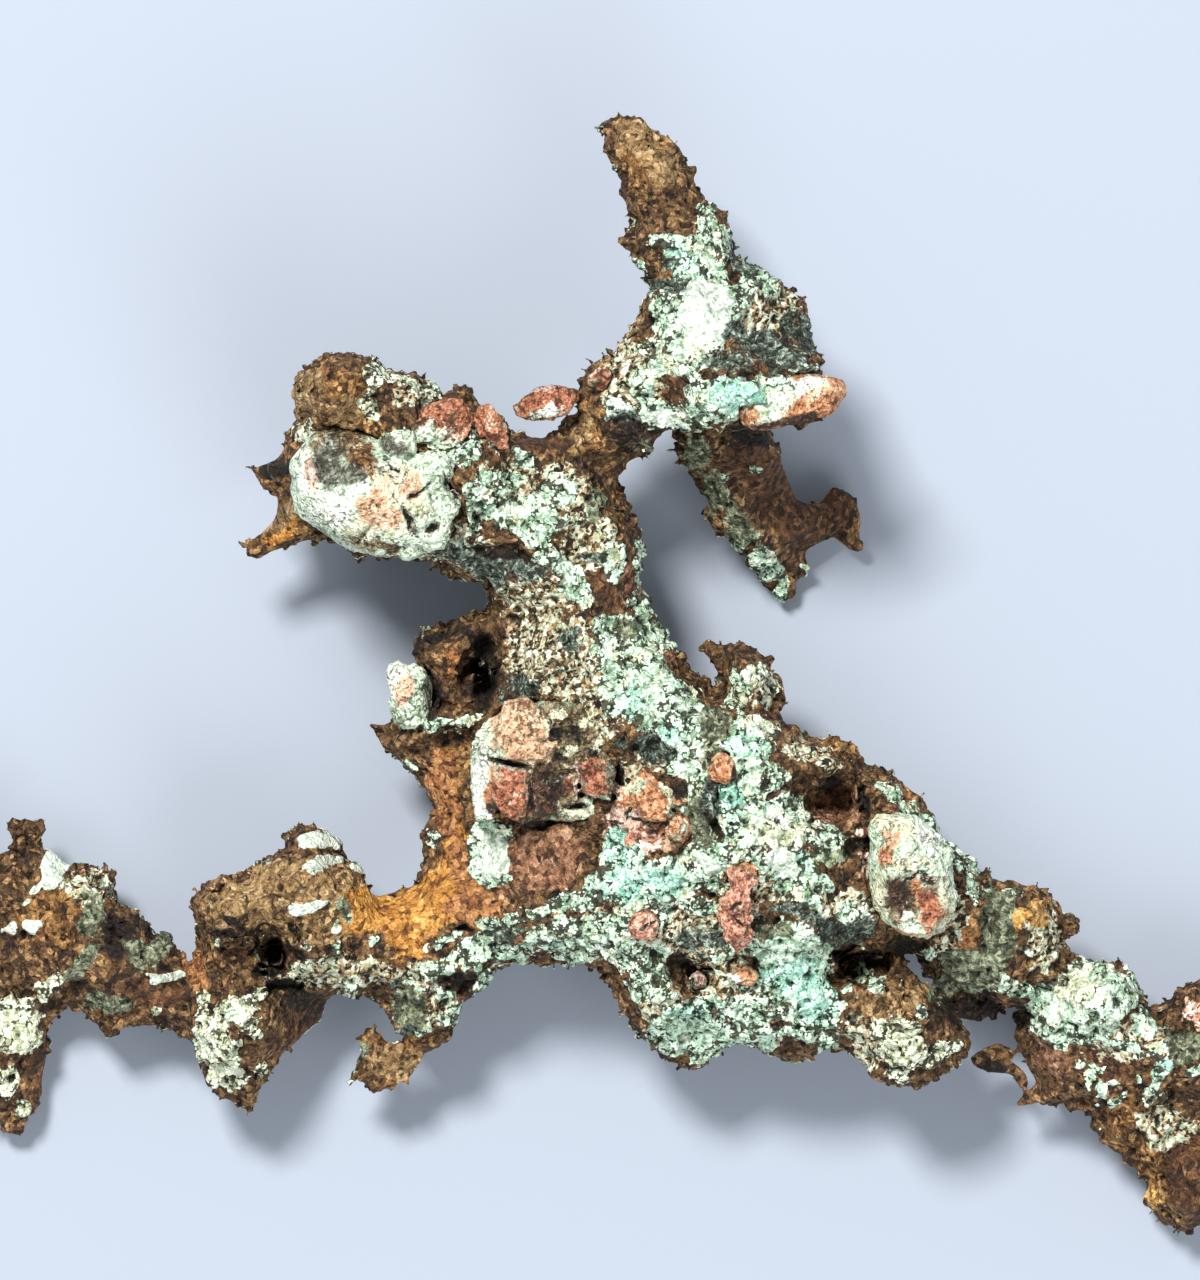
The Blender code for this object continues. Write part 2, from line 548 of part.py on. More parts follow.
def center(copper):
    levels = BLOCK_LEVELS + COLUMN_LEVELS + TRUNK_LEVELS + SHOULDER_LEVELS + [
        (-19.5, -24.5, 9.0, 18.0), (-14.5, -23.0, 8.5, 19.5), (-20.0, -32.0, 7.0, 16.0),
        (-23.5, -39.5, 7.0, 11.0), (-9.0, -22.0, 6.5, 22.0), (-8.0, -9.0, 5.0, 23.5),
        (-7.0, 1.0, 6.0, 27.0), (0.0, -3.0, 4.5, 28.0), (3.5, -13.0, 3.5, 27.0),
        (1.0, -22.0, 4.0, 26.0), (6.0, -5.0, 6.0, 27.0), (12.5, -1.0, 11.0, 23.0),
        (13.0, -8.0, 6.0, 27.0), (12.0, -17.0, 3.0, 29.0), (18.0, -12.0, 6.0, 25.0),
        (18.5, -21.0, 5.0, 27.5), (6.0, -30.0, 6.0, 22.5), (15.0, -31.0, 6.0, 22.0),
        (21.5, -34.5, 8.0, 19.0), (29.0, -36.0, 12.0, 22.0), (33.0, -36.5, 14.0, 20.0),
        (7.5, -37.5, 9.0, 17.0),
    ]
    lumps = [(-4.5, 2.5, 4.0, 2.2), (1.5, -4.5, 3.5, 1.5), (10.0, -14.5, 3.6, 1.8), (16.0, -16.0, 4.0, 2.0),
             (11.5, 0.5, 2.2, 1.8), (19.5, -24.0, 3.2, 1.5), (-8.5, -25.0, 3.0, 1.4),
             (3.5, -18.5, 3.2, 1.8), (-18.5, -31.0, 2.8, 1.6), (27.5, -33.0, 3.0, 2.4),
             (5.0, -33.0, 3.0, 1.2), (14.0, -26.0, 2.6, 1.2), (20.5, -8.0, 2.0, 2.0)]
    pits = [(7.0, -29.2, 1.7, 1.4, 4.5), (23.6, -29.0, 2.6, 1.5, 8.5), (20.6, -12.6, 2.6, 2.3, 6.5),
            (-1.8, -16.4, 1.8, 0.9, 3.0), (9.0, -25.6, 1.5, 1.1, 2.5), (14.5, -19.8, 1.2, 0.9, 2.0)]
    ridges = [((2.0, -26.0), (20.0, -26.6), 1.5, 2.4), ((-20.0, -22.8), (-10.5, -20.2), 2.4, 1.2),
              ((17.2, -9.5), (23.6, -9.0), 1.1, 2.2), ((17.6, -15.8), (22.4, -15.4), 1.2, 2.0),
              ((11.0, 1.8), (15.6, -2.6), 1.3, 1.6), ((26.0, -30.6), (32.0, -35.6), 1.5, 1.8)]
    under_lumps = [(6.0, -14.0, 9.0, 2.5), (-4.0, -3.0, 5.0, 1.5)]
    return branch("copper_center", CENTER_OUTLINE,
                  Relief(levels, 4, lumps, pits, ridges, under_lumps), copper)


def trunk(copper):
    levels = TRUNK_LEVELS + HEAD_LEVELS + SPIRE_LEVELS + [
        (-8.5, 10.5, 7.0, 26.5), (-6.0, 16.0, 8.0, 26.0), (-0.5, 12.5, 9.5, 25.0),
        (-8.0, 22.0, 12.0, 24.0), (-3.5, 21.0, 11.0, 24.5),
    ]
    lumps = [(-8.0, 13.5, 2.6, 1.6), (-1.0, 14.5, 2.0, 1.6), (-6.5, 9.0, 2.6, 1.6)]
    pits = [(-4.6, 12.6, 0.9, 2.6, 2.6), (-1.8, 21.6, 0.9, 1.4, 6.0), (-9.5, 19.4, 1.5, 1.0, 2.0)]
    ridges = [((-10.0, 23.0), (-4.6, 25.2), 1.2, 1.8), ((-5.0, 24.6), (-3.0, 17.5), 1.1, 1.8)]
    return branch("copper_trunk", TRUNK_OUTLINE, Relief(levels, 5, lumps, pits, ridges), copper)


def head(copper):
    levels = HEAD_LEVELS + [
        (-17.0, 13.5, 7.0, 25.0), (-18.0, 20.0, 5.0, 28.0), (-25.0, 17.0, -2.0, 25.5),
        (-29.0, 21.0, 1.0, 26.0), (-28.0, 28.5, 11.0, 33.0), (-21.5, 26.0, 8.0, 30.0),
        (-15.5, 26.5, 12.0, 27.5), (-35.5, 13.2, 9.5, 15.0), (-35.4, 20.6, 12.0, 18.0),
    ]
    lumps = [(-28.8, 29.3, 3.2, 2.4), (-23.0, 28.0, 2.4, 1.6), (-15.2, 18.6, 3.4, 2.2),
             (-20.5, 26.5, 2.0, 1.2), (-17.0, 22.8, 2.2, 1.4)]
    pits = [(-17.8, 16.6, 1.0, 2.0, 3.0), (-25.8, 25.4, 1.6, 0.9, 2.2)]
    ridges = [((-36.4, 12.6), (-30.0, 15.4), 1.5, 2.2), ((-36.2, 21.0), (-31.5, 20.6), 1.2, 1.6),
              ((-31.0, 24.0), (-24.0, 26.5), 1.4, 1.6)]
    under_lumps = [(-24.5, 19.0, 6.0, 2.0)]
    return branch("copper_head", HEAD_OUTLINE,
                  Relief(levels, 6, lumps, pits, ridges, under_lumps), copper)


def spire(copper):
    levels = SPIRE_LEVELS + [
        (-2.5, 29.0, 16.0, 27.0), (3.5, 29.5, 17.0, 31.0), (10.0, 28.5, 25.0, 34.0),
        (18.0, 28.5, 25.5, 33.0), (8.0, 34.5, 16.0, 31.0), (16.0, 35.5, 18.0, 28.0),
        (7.5, 41.0, 16.0, 28.0), (4.5, 47.0, 16.5, 26.0), (2.5, 52.0, 17.5, 25.5), (0.0, 55.0, 19.0, 24.5),
    ]
    lumps = [(6.5, 37.5, 3.0, 1.8), (12.0, 30.5, 3.0, 1.0), (5.5, 43.5, 2.2, 1.4), (13.5, 36.5, 2.6, 1.0),
             (2.8, 50.0, 2.6, 1.4), (8.5, 46.0, 1.2, 0.8)]
    pits = [(13.5, 33.2, 1.3, 0.9, 1.8), (3.6, 27.6, 1.6, 0.9, 1.8), (4.0, 54.0, 1.0, 0.8, 1.2)]
    ridges = [((4.0, 26.0), (19.5, 28.8), 1.4, 1.6), ((2.6, 43.0), (9.8, 44.8), 1.1, 1.6),
              ((1.0, 35.0), (4.6, 40.0), 1.2, 1.2)]
    return branch("copper_spire", SPIRE_OUTLINE,
                  Relief(levels, 7, lumps, pits, ridges, ledge=(1.5, 29.5)), copper)


def blade(copper):
    levels = [
        (10.0, 26.0, 20.5, 24.5), (12.0, 23.0, 15.0, 20.5), (11.0, 18.5, 6.5, 13.5), (15.5, 15.5, 1.0, 9.5),
        (16.5, 9.5, -1.0, 5.0), (22.5, 16.0, -1.0, 6.0),
    ]
    lumps = [(22.3, 17.4, 1.4, 1.4), (16.5, 9.6, 1.2, 0.8)]
    ridges = [((8.0, 22.5), (16.0, 9.0), 2.2, 1.8)]
    return branch("copper_blade", BLADE_OUTLINE,
                  Relief(levels, 8, lumps, (), ridges, roughness=0.35, ceiling=BLADE_CEILING), copper)


def shoulder(copper):
    levels = SHOULDER_LEVELS + RIGHT_END_LEVELS + [
        (28.8, -20.0, 8.0, 24.5), (29.0, -13.0, 9.0, 24.0), (34.5, -22.0, 9.0, 22.5),
        (39.5, -23.5, 9.0, 21.5), (44.5, -25.5, 9.0, 17.0), (37.5, -29.5, 11.0, 18.5),
    ]
    lumps = [(29.0, -12.6, 1.8, 1.8), (35.4, -21.0, 2.0, 1.4), (42.5, -23.2, 2.4, 1.6)]
    pits = [(35.6, -25.0, 0.8, 2.0, 2.0)]
    ridges = [((41.4, -22.0), (42.4, -30.0), 1.2, 1.6), ((33.6, -29.0), (40.0, -31.6), 1.1, 1.2)]
    piece = branch("copper_right_shoulder", SHOULDER_OUTLINE,
                   Relief(levels, 9, lumps, pits, ridges), copper)
    plate_levels = [(31.0, -28.0, 8.0, 13.0), (36.0, -32.5, 6.5, 9.5), (39.5, -31.0, 6.5, 13.0)]
    plate = branch("shoulder_under_plate", UNDER_PLATE_OUTLINE,
                   Relief(plate_levels, 10, roughness=0.25), copper)
    combine(piece, plate, "UNION")
    hide(plate)
    return piece


def right_end(copper):
    levels = RIGHT_END_LEVELS + [
        (48.5, -33.0, 4.0, 18.5), (45.0, -39.0, 4.0, 14.0), (54.0, -38.5, 3.0, 17.0),
        (51.0, -45.0, 3.0, 12.0), (56.5, -50.0, -2.5, 9.5), (37.5, -38.4, 6.0, 9.0), (40.0, -42.3, 6.0, 8.8),
        (61.0, -34.5, 4.0, 16.0), (67.5, -37.0, 3.0, 12.0), (62.0, -45.0, -1.0, 12.0),
    ]
    lumps = [(47.5, -32.5, 4.2, 2.6), (53.5, -36.5, 2.4, 1.6), (59.5, -40.0, 3.0, 1.6),
             (52.0, -42.0, 2.4, 1.2)]
    pits = [(56.5, -35.6, 1.6, 1.0, 3.0), (47.5, -40.2, 1.4, 1.0, 1.8)]
    ridges = [((43.0, -36.0), (50.0, -42.5), 1.4, 1.5), ((53.0, -46.0), (57.5, -54.0), 1.4, 1.8),
              ((60.0, -32.5), (66.0, -37.5), 1.5, 1.4)]
    return branch("copper_right_end", RIGHT_END_OUTLINE,
                  Relief(levels, 11, lumps, pits, ridges), copper)


# Rocks, grouped by the branch that holds them ------------------------------------------------------

def head_rocks(pale, red):
    return [
        pebble("head_cobble", (-24.8, 18.2, 26.5), (17.5, 11.6, 12.5), pale, turn=-24, seed=1, detail=3),
        pebble("red_rock_head", (-17.6, 25.2, 29.6), (6.2, 5.2, 4.6), red, turn=20, seed=2,
               breaks=[((-0.3, 0.2, 1.0), 0.55)]),
        pebble("red_chip_head", (-13.6, 25.2, 27.8), (2.8, 3.2, 2.6), red, turn=-30, seed=3),
    ]


def spire_rocks(red, orange):
    return [
        pebble("red_lens", (-7.3, 27.3, 24.0), (7.0, 3.6, 3.0), red, turn=14, seed=4),
        pebble("red_chip_spire", (-2.1, 29.6, 27.2), (3.0, 2.2, 2.2), red, turn=30, seed=5),
        pebble("ledge_slab", (16.9, 27.3, 31.4), (12.0, 5.0, 5.6), orange, turn=14, seed=6,
               breaks=[((0.0, 0.1, 1.0), 0.6)]),
    ]


def core_cobble(pale):
    """The cobble behind the column, broken across its lower front."""
    lower_front = ((0.1, -0.75, 0.66), 0.42)
    right_front = ((0.75, -0.2, 0.6), 0.66)
    return pebble("core_cobble", (-7.7, -8.4, 22.5), (14.2, 12.4, 14.0), pale, turn=10, seed=7,
                  breaks=[lower_front, right_front], detail=3)


def orange_crystals(orange):
    blocks = [
        ((-1.4, 1.2, 0.0), (4.2, 3.2, 3.4), (20, 12, 28)),
        ((1.4, 0.2, 0.3), (3.4, 3.6, 3.2), (-18, 20, 60)),
        ((-0.4, -1.9, -0.2), (3.0, 2.6, 3.0), (30, -14, 10)),
        ((2.7, -2.0, 0.2), (2.4, 2.4, 2.4), (40, 30, 45)),
    ]
    return crystals("orange_crystals", (3.0, -12.8, 28.4), blocks, orange)


def pink_crystals(orange):
    blocks = [
        ((0.1, 0.0, -0.2), (2.0, 6.4, 2.0), (4, 10, -4)),
        ((0.4, 3.0, 0.2), (2.4, 2.0, 2.2), (20, 30, 20)),
        ((-0.3, 0.4, 0.3), (2.6, 2.2, 2.2), (-20, 16, 50)),
        ((0.0, -2.8, 0.2), (2.2, 2.0, 2.2), (30, -20, 30)),
    ]
    return crystals("pink_crystals", (11.8, -22.6, 28.8), blocks, orange)


def center_rocks(pale, red, orange):
    return [
        core_cobble(pale),
        orange_crystals(orange),
        pink_crystals(orange),
        pebble("orange_bead", (10.2, -9.1, 27.8), (2.7, 3.1, 2.6), orange, seed=8),
        pebble("pink_bead", (2.5, -24.6, 26.6), (3.1, 3.0, 2.6), red, seed=9),
        pebble("white_bead", (7.9, -30.4, 19.6), (1.9, 1.9, 2.2), pale, seed=10),
        pebble("cream_bead", (12.5, -29.8, 23.2), (2.3, 2.2, 2.2), orange, seed=11),
    ]


def shoulder_rocks(pale):
    window = ((0.1, -0.5, 0.85), 0.72)
    return [pebble("right_cobble", (29.0, -20.0, 25.0), (8.6, 12.6, 10.5), pale, turn=12, seed=12,
                   breaks=[window], detail=3)]


def column_rocks(pale):
    return [pebble("left_cobble", (-21.0, -2.0, 17.4), (4.6, 6.6, 5.2), pale, turn=-8, seed=13)]


def main():
    for thing in list(bpy.data.objects):
        bpy.data.objects.remove(thing)
    copper = material("weathered_copper", (0.20, 0.12, 0.06), 0.8, 0.25)
    pale = material("pale_crusted_rock", (0.62, 0.62, 0.48), 0.85, 0.0)
    red = material("red_rock", (0.30, 0.10, 0.06), 0.75, 0.0)
    orange = material("orange_rock", (0.48, 0.24, 0.12), 0.7, 0.0)

    left_end(copper)
    left_block(copper)
    trunk(copper)
    blade(copper)
    right_end(copper)
    holders = [
        (head(copper), head_rocks(pale, red)),
        (spire(copper), spire_rocks(red, orange)),
        (center(copper), center_rocks(pale, red, orange)),
        (shoulder(copper), shoulder_rocks(pale)),
        (column(copper), column_rocks(pale)),
    ]
    for holder, rocks in holders:
        for rock in rocks:
            combine(holder, socket_for(rock), "DIFFERENCE")
        drop_crumbs(holder)


main()
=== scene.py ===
"""The looks of the native copper nugget: a crumbly skin of copper, green crust and rock around the frame.

The frame is in metres. Shapes are worked on in millimetres, and MM turns them back.
"""
import json
import math

import bmesh
import bpy
import numpy as np
from mathutils import Matrix, Vector
from mathutils.bvhtree import BVHTree


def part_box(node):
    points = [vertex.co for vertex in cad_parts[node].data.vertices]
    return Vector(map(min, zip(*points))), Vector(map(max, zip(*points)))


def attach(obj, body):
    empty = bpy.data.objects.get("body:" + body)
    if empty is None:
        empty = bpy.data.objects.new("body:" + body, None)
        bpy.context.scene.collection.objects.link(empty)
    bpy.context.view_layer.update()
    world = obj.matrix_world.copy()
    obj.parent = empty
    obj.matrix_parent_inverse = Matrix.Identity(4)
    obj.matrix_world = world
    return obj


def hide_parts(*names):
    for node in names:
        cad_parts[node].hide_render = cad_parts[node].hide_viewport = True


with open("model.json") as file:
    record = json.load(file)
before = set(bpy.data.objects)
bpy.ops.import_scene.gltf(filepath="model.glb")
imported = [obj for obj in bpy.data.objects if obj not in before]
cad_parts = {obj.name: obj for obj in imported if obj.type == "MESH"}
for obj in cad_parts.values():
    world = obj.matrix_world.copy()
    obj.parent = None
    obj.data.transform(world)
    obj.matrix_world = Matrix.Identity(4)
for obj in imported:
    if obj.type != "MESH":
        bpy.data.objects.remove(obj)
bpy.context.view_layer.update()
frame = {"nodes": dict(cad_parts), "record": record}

MM = 0.001
COPPER = sorted(name for name in frame["nodes"] if name.startswith("copper_"))
ROCKS = sorted(name for name in frame["nodes"] if not name.startswith("copper_"))

# The picture: one picture element of its 1200 x 1280 frame is 0.1 mm at the nugget
PICTURE_HEIGHT = 128.0 * MM
CAMERA_DISTANCE = 1.5
CAMERA_AIM = Vector((-2.0, 3.7, 18.0)) * MM
SENSOR = 36.0
FLOOR_SIZE = 8.0
FLOOR_GAP = 0.05 * MM      # how far the floor lies under the nugget

# Sculpting, in millimetres
OVERLAP = 0.12             # how far each branch grows, so that the fork gaps close
SOFT_VOXEL = 0.4           # grid of the first, softened skin
SKIN_VOXEL = 0.265         # grid of the finished skin
ROCK_VOXEL = 0.24
SMALLEST_PART = 1500       # loose bits of skin with fewer points are left out
CRUMBS = 8500              # crumbs stuck to the skin, most of them in the green crust
FLAKES = 2600              # broad thin ones, most of them on bare copper and along the rims
SLIVERS = 380              # torn points, most of them along the rims
CRUMB_SEED = 7
CENTER_SPLIT = -18.5       # the middle's skin is two pieces, above and below this height in the picture


# Fields: smooth seeded values at places, worked out for whole arrays of points ----------------------

def hashed(cells, seed):
    """A repeatable value from 0 to 1 for each whole-numbered cell."""
    x, y, z = (cells[:, axis].astype(np.int64) for axis in range(3))
    mixed = (x * 73856093) ^ (y * 19349663) ^ (z * 83492791) ^ (seed * 2654435761)
    mixed = (mixed ^ (mixed >> 13)) * 1274126177 & 0x7FFFFFFF
    mixed = (mixed ^ (mixed >> 16)) * 668265263 & 0x7FFFFFFF
    return ((mixed ^ (mixed >> 15)) & 0xFFFFFF) / float(0xFFFFFF)


def waves(points, length, seed):
    """Smooth value noise from -1 to 1 whose crests are about length apart."""
    scaled = points / length + 0.37 * seed
    cells = np.floor(scaled)
    share = scaled - cells
    share = share * share * share * (share * (share * 6 - 15) + 10)
    total = np.zeros(len(points))
    for corner in range(8):
        step = np.array([corner & 1, corner >> 1 & 1, corner >> 2 & 1])
        weight = np.prod(np.where(step, share, 1 - share), axis=1)
        total += weight * hashed(cells + step, seed)
    return total * 2 - 1


def layered(points, length, layers, seed):
    """Waves of halving length and strength, from about -1 to 1."""
    total = np.zeros(len(points))
    strength = 1.0
    for layer in range(layers):
        total += strength * waves(points, length / 2 ** layer, seed + 11 * layer)
        strength *= 0.55
    return total / 1.6


def grains(points, size, seed):
    """Distance to the nearest grain's middle, in grain sizes."""
    scaled = points / size
    home = np.floor(scaled)
    nearest = np.full(len(points), np.inf)
    for dx in (-1, 0, 1):
        for dy in (-1, 0, 1):
            for dz in (-1, 0, 1):
                cells = home + (dx, dy, dz)
                middle = cells + np.stack([hashed(cells, seed + k) for k in range(3)], axis=1)
                nearest = np.minimum(nearest, np.linalg.norm(middle - scaled, axis=1))
    return nearest


def step_up(value, low, high):
    share = np.clip((value - low) / (high - low), 0.0, 1.0)
    return share * share * (3 - 2 * share)


def spots(points, places):
    """Strongest of some soft spots seen from above: 1 in a spot's middle, 0.5 on its edge, 0 well outside."""
    best = np.zeros(len(points))
    for x, y, half_length, half_width, *rest in places:
        turn = math.radians(rest[0] if rest else 0)
        reach = 1.5 * max(half_length, half_width)
        near = np.flatnonzero((np.abs(points[:, 0] - x) < reach) & (np.abs(points[:, 1] - y) < reach))
        across, along = points[near, 0] - x, points[near, 1] - y
        cosine, sine = math.cos(turn), math.sin(turn)
        u = (across * cosine + along * sine) / half_length
        v = (along * cosine - across * sine) / half_width
        best[near] = np.maximum(best[near], 1.0 - 0.5 * (u * u + v * v))
    return best


def carved(points, places):
    """Depth of the deepest hollow at each point, in millimetres."""
    depth = np.zeros(len(points))
    for place in places:
        depth = np.maximum(depth, place[5] * step_up(spots(points, [place]), 0.35, 0.9))
    return depth


# Where the colours lie, seen from above: x, y, half length and half width in millimetres. A fifth number is
# the spot's turn in degrees.

CRUST = [
    # left end and neck
    (-60.9, -35.3, 2.4, 2.6), (-59.2, -34.9, 1, 2), (-61.8, -40.8, 0.8, 1.7), (-60.3, -43.3, 0.8, 0.6, 30),
    (-57.2, -31.2, 1.9, 0.9, 45), (-51.6, -20.9, 0.5, 0.3), (-66.5, -30, 2, 2.4), (-65, -38.5, 1.4, 2),
    (-46.5, -33.9, 0.7, 0.5),
    # left block and its flap
    (-38.5, -33.3, 2.8, 1.6, 20), (-41.5, -36.5, 1.6, 2.4), (-36.6, -35.3, 1.1, 1.6),
    (-39.2, -37.3, 1.2, 1.6), (-39.5, -40.2, 2.2, 1.3, -15), (-36, -39.3, 0.8, 1), (-42.3, -33, 0.6, 2),
    (-35.7, -31.2, 0.9, 0.9, 40), (-28.5, -25.3, 0.5, 0.5), (-24.7, -26.8, 0.7, 0.4),
    (-31.2, -27, 0.5, 0.4), (-35.4, -29.3, 0.7, 0.8), (-32.8, -29.8, 0.5, 0.5), (-31.4, -29.4, 0.5, 0.9),
    (-26.8, -30.6, 0.8, 0.8), (-40.3, -27, 0.5, 0.4), (-28.2, -27.4, 0.5, 1),
    # band under the saddle, and the hook's arm
    (-17.2, -26.2, 1.6, 0.6, 15), (-14.4, -26.9, 2.4, 1.3, 20), (-18, -28.8, 1.6, 1, 30),
    (-11.6, -24, 2.6, 0.8, 10), (-11, -27.6, 3, 1, 15), (-14.6, -29.6, 0.7, 0.7),
    (-13.6, -31, 0.7, 1.5, -40), (-17.4, -31.8, 0.8, 0.6), (-16.6, -33.6, 1.6, 0.8, 30),
    (-20.8, -31.4, 1.2, 1), (-21.4, -33.8, 1.4, 1), (-19.8, -35.2, 0.8, 1),
    # column
    (-16.2, -4.4, 2.6, 0.8, 16), (-19, -5, 0.9, 0.8), (-20.6, -9, 0.9, 0.5, -50), (-18.9, -16.1, 0.4, 0.7),
    (-13.2, -16, 1.9, 1.8), (-14.4, -18.4, 1.2, 2.2, 20), (-12.4, -20.2, 1.4, 1),
    # pale band below the core
    (-4.8, -22.2, 5.4, 1, 12), (-5, -26, 4.4, 2.2, 5), (1.6, -20.4, 6, 2.2, 10), (5.6, -8.4, 1.6, 1.3),
    (3.6, -5.6, 2.6, 0.8, -10), (0.2, -17.2, 2, 2.6), (6.6, -19.6, 3.6, 2, 15), (1, -27.6, 4.4, 1.6, -15),
    (3.2, -30, 2.6, 2.2), (2.6, -24.2, 2, 1), (4.6, -23, 1.2, 1.2), (-1.2, -24.6, 2.2, 1.2),
    # middle
    (0.6, 3, 3, 3.2), (2.4, -1.4, 4, 3.6, -20), (6.2, -4.6, 3.6, 3.2, -30), (-0.4, -1.6, 1.8, 2.6),
    (7.6, -8.6, 1.4, 3.2), (11.4, -1.2, 1, 2), (12.6, -6, 3, 2.2, -20), (13.6, -9.6, 2.4, 2.6),
    (11.4, -11.8, 1.8, 4), (14.6, -14.6, 4.6, 3.2), (15, -17.8, 4.2, 2.4, -10), (20.4, -16.4, 2, 1.8),
    (8, -14.2, 1.8, 2.6), (9.6, -17.6, 3, 1.6), (17.8, -20.6, 2.8, 1.2), (23.4, -23.4, 1.4, 1),
    (19.2, -22.8, 1.2, 0.7), (13.2, 0.2, 1.6, 0.8, 20), (12, -1.8, 1.6, 1.6), (15.4, -0.8, 0.9, 0.9),
    (3.6, -12.6, 3.4, 0.8),
    # lower middle and lower lobe
    (10.4, -32.4, 2.6, 0.9), (7.6, -22.4, 2, 0.8, -10), (9, -20.6, 1.2, 0.8), (10.2, -27.6, 1, 0.7),
    (17, -30, 3.6, 3.6), (16.6, -26.6, 3.8, 2.2), (19.4, -33.2, 2.4, 3.4), (12.6, -30.8, 1.4, 1),
    (7.2, -33.6, 2.6, 1.4), (12.4, -33.4, 3.2, 1.6), (7, -36.2, 4.4, 2, -10), (14.4, -35.8, 4.2, 1.2, 5),
    (20.6, -36.2, 1.4, 1.2), (27.8, -35.4, 2.4, 1.4), (28.6, -37.6, 3, 1.5), (32.4, -37, 1.8, 0.9, 20),
    (28, -39.2, 1.4, 1), (24.6, -29.6, 0.7, 0.8), (25.8, -30.6, 0.7, 0.6), (22.6, -31.8, 1, 0.6),
    (30, -33.2, 0.5, 1, 20),
    # right shoulder
    (27, -11.2, 1.5, 0.9, -25), (31, -15.2, 1.2, 3.4, 38), (33.4, -18.2, 2.6, 1, -35),
    (35.2, -21.4, 0.8, 1.4), (38, -21.4, 1.4, 0.5, -10), (38.8, -23.4, 0.7, 1.8),
    (34.8, -29.6, 2.8, 1.3, -28), (39.6, -31, 2.2, 0.8, -20), (30.8, -27.8, 0.6, 0.6),
    (40.7, -27.8, 0.6, 0.4, -30),
    # right end
    (46.8, -32, 3.6, 3.4, 10), (44.6, -34.6, 3, 2, 10), (50, -31.6, 1.6, 2, -20), (42.2, -34.2, 1.2, 1.6),
    (42, -31.8, 0.8, 0.9), (47.6, -35.4, 2.4, 0.9, 10), (52.4, -34.6, 1, 1.5, 30),
    (50, -36.8, 1.6, 0.7, -10), (52.4, -37.8, 1.4, 0.6, -20), (44, -37, 0.7, 0.5, -30), (46, -39, 0.5, 0.5),
    (47, -40.2, 0.5, 1.1), (48.4, -41.8, 0.6, 0.9), (48, -39.4, 0.8, 0.4), (49.6, -40.9, 0.7, 0.4),
    (50, -42.6, 0.9, 0.5, 20), (51.6, -40.4, 0.4, 0.6), (54, -39.6, 1, 1.6, -20), (53.2, -42, 0.5, 1.6),
    (54.6, -42.4, 0.4, 0.9), (55.4, -37, 0.9, 0.7, -30), (57.4, -39.6, 1.2, 0.5, 10), (62, -38, 1.6, 1.2),
    (65.5, -36, 1.2, 1.6), (63, -44, 1, 0.8),
    # trunk and head
    (-5, 9.6, 1.3, 3.4, 35), (-7.2, 12.2, 1.4, 0.9), (-0.6, 11.4, 1.2, 2.2, 10), (2.2, 11, 0.5, 2.8, 5),
    (2.6, 6.8, 0.9, 2, 25), (3.8, 4.2, 0.8, 1.4, 40), (-1.4, 5, 1.6, 1.2), (-24.4, 29.4, 0.8, 2.2, 8),
    (-22.6, 29.6, 1.5, 0.6, -20), (-24.8, 26.6, 0.8, 1.4, 20), (-31.4, 24.6, 0.6, 1, -20),
    (-15.8, 22.6, 1.9, 1.6, 20), (-15.2, 24.8, 0.5, 1.4), (-12.9, 24, 0.6, 1.8, 10),
    (-9.6, 22, 1.5, 0.6, -35), (-12, 19.4, 2.4, 1, 5), (-9.8, 16.4, 4.4, 1.8, 5), (-6.4, 18.6, 1.8, 1.4),
    (-8, 14.6, 2.4, 1.4), (-14.6, 17, 1, 2.6), (-3, 16.2, 0.8, 0.8), (-19.6, 28.4, 1.4, 0.8),
    # spire and ledge
    (7.6, 37, 3.6, 4.4), (6.4, 42, 2.6, 1.8), (4, 43.2, 1.8, 0.8, -10), (2, 40.6, 0.6, 1, 20),
    (8.2, 46.6, 0.9, 0.7), (8.6, 44, 1.5, 2), (10.4, 43.4, 0.8, 1.6), (5.2, 34.6, 1.6, 3, 20),
    (13.8, 39.4, 2.4, 0.9, -25), (12, 37.6, 1.4, 2.2), (2.8, 32.8, 1.6, 0.8, 20), (4.6, 31.2, 1.6, 1.1),
    (7, 30, 3.4, 0.7, -30), (2.2, 28.8, 1.3, 2, 20), (3.8, 26, 2.6, 1.2, -10), (-0.2, 26.8, 0.9, 0.8),
    (12.6, 27.8, 6, 2, 8), (8.4, 28, 2, 1.6), (18.4, 30, 2.4, 1.4, 15), (7.4, 25.2, 1.2, 0.7),
    (7.2, 31.8, 2, 1.3), (10.2, 26, 1.8, 0.9), (16.6, 32, 0.7, 0.7), (18.2, 34.6, 0.5, 0.8),
    # blade
    (14.8, 11.4, 1, 2.6, 40), (13, 13.6, 1.4, 0.5, 10), (16.4, 8.6, 0.5, 1, 30), (19, 10.3, 0.5, 0.9),
    (13.2, 20.8, 0.5, 0.4), (10.5, 19.5, 0.4, 0.5),
]
PLATE = [
    (-57, -19.6, 1.4, 2, 15), (-58.6, -21.2, 0.9, 0.4, 45), (-59.2, -25.2, 0.8, 0.7),
    (-61.3, -25.6, 0.8, 0.5), (-30.2, -16.6, 2, 0.9, -5), (-29.8, -18.9, 1.5, 0.8, 10),
    (-31.3, -22.9, 2.1, 0.7, 3), (-26.6, -19.3, 0.7, 0.5, -40), (-12.6, -18.2, 1.5, 2), (8.4, 36.4, 2.8, 3),
    (-45.3, -29.9, 1.7, 0.6, 5), (-59.6, -22.6, 0.5, 0.3, 10), (16.4, -18.6, 1.6, 1.2, -30),
    (3.8, 25.6, 1.6, 0.7),
]
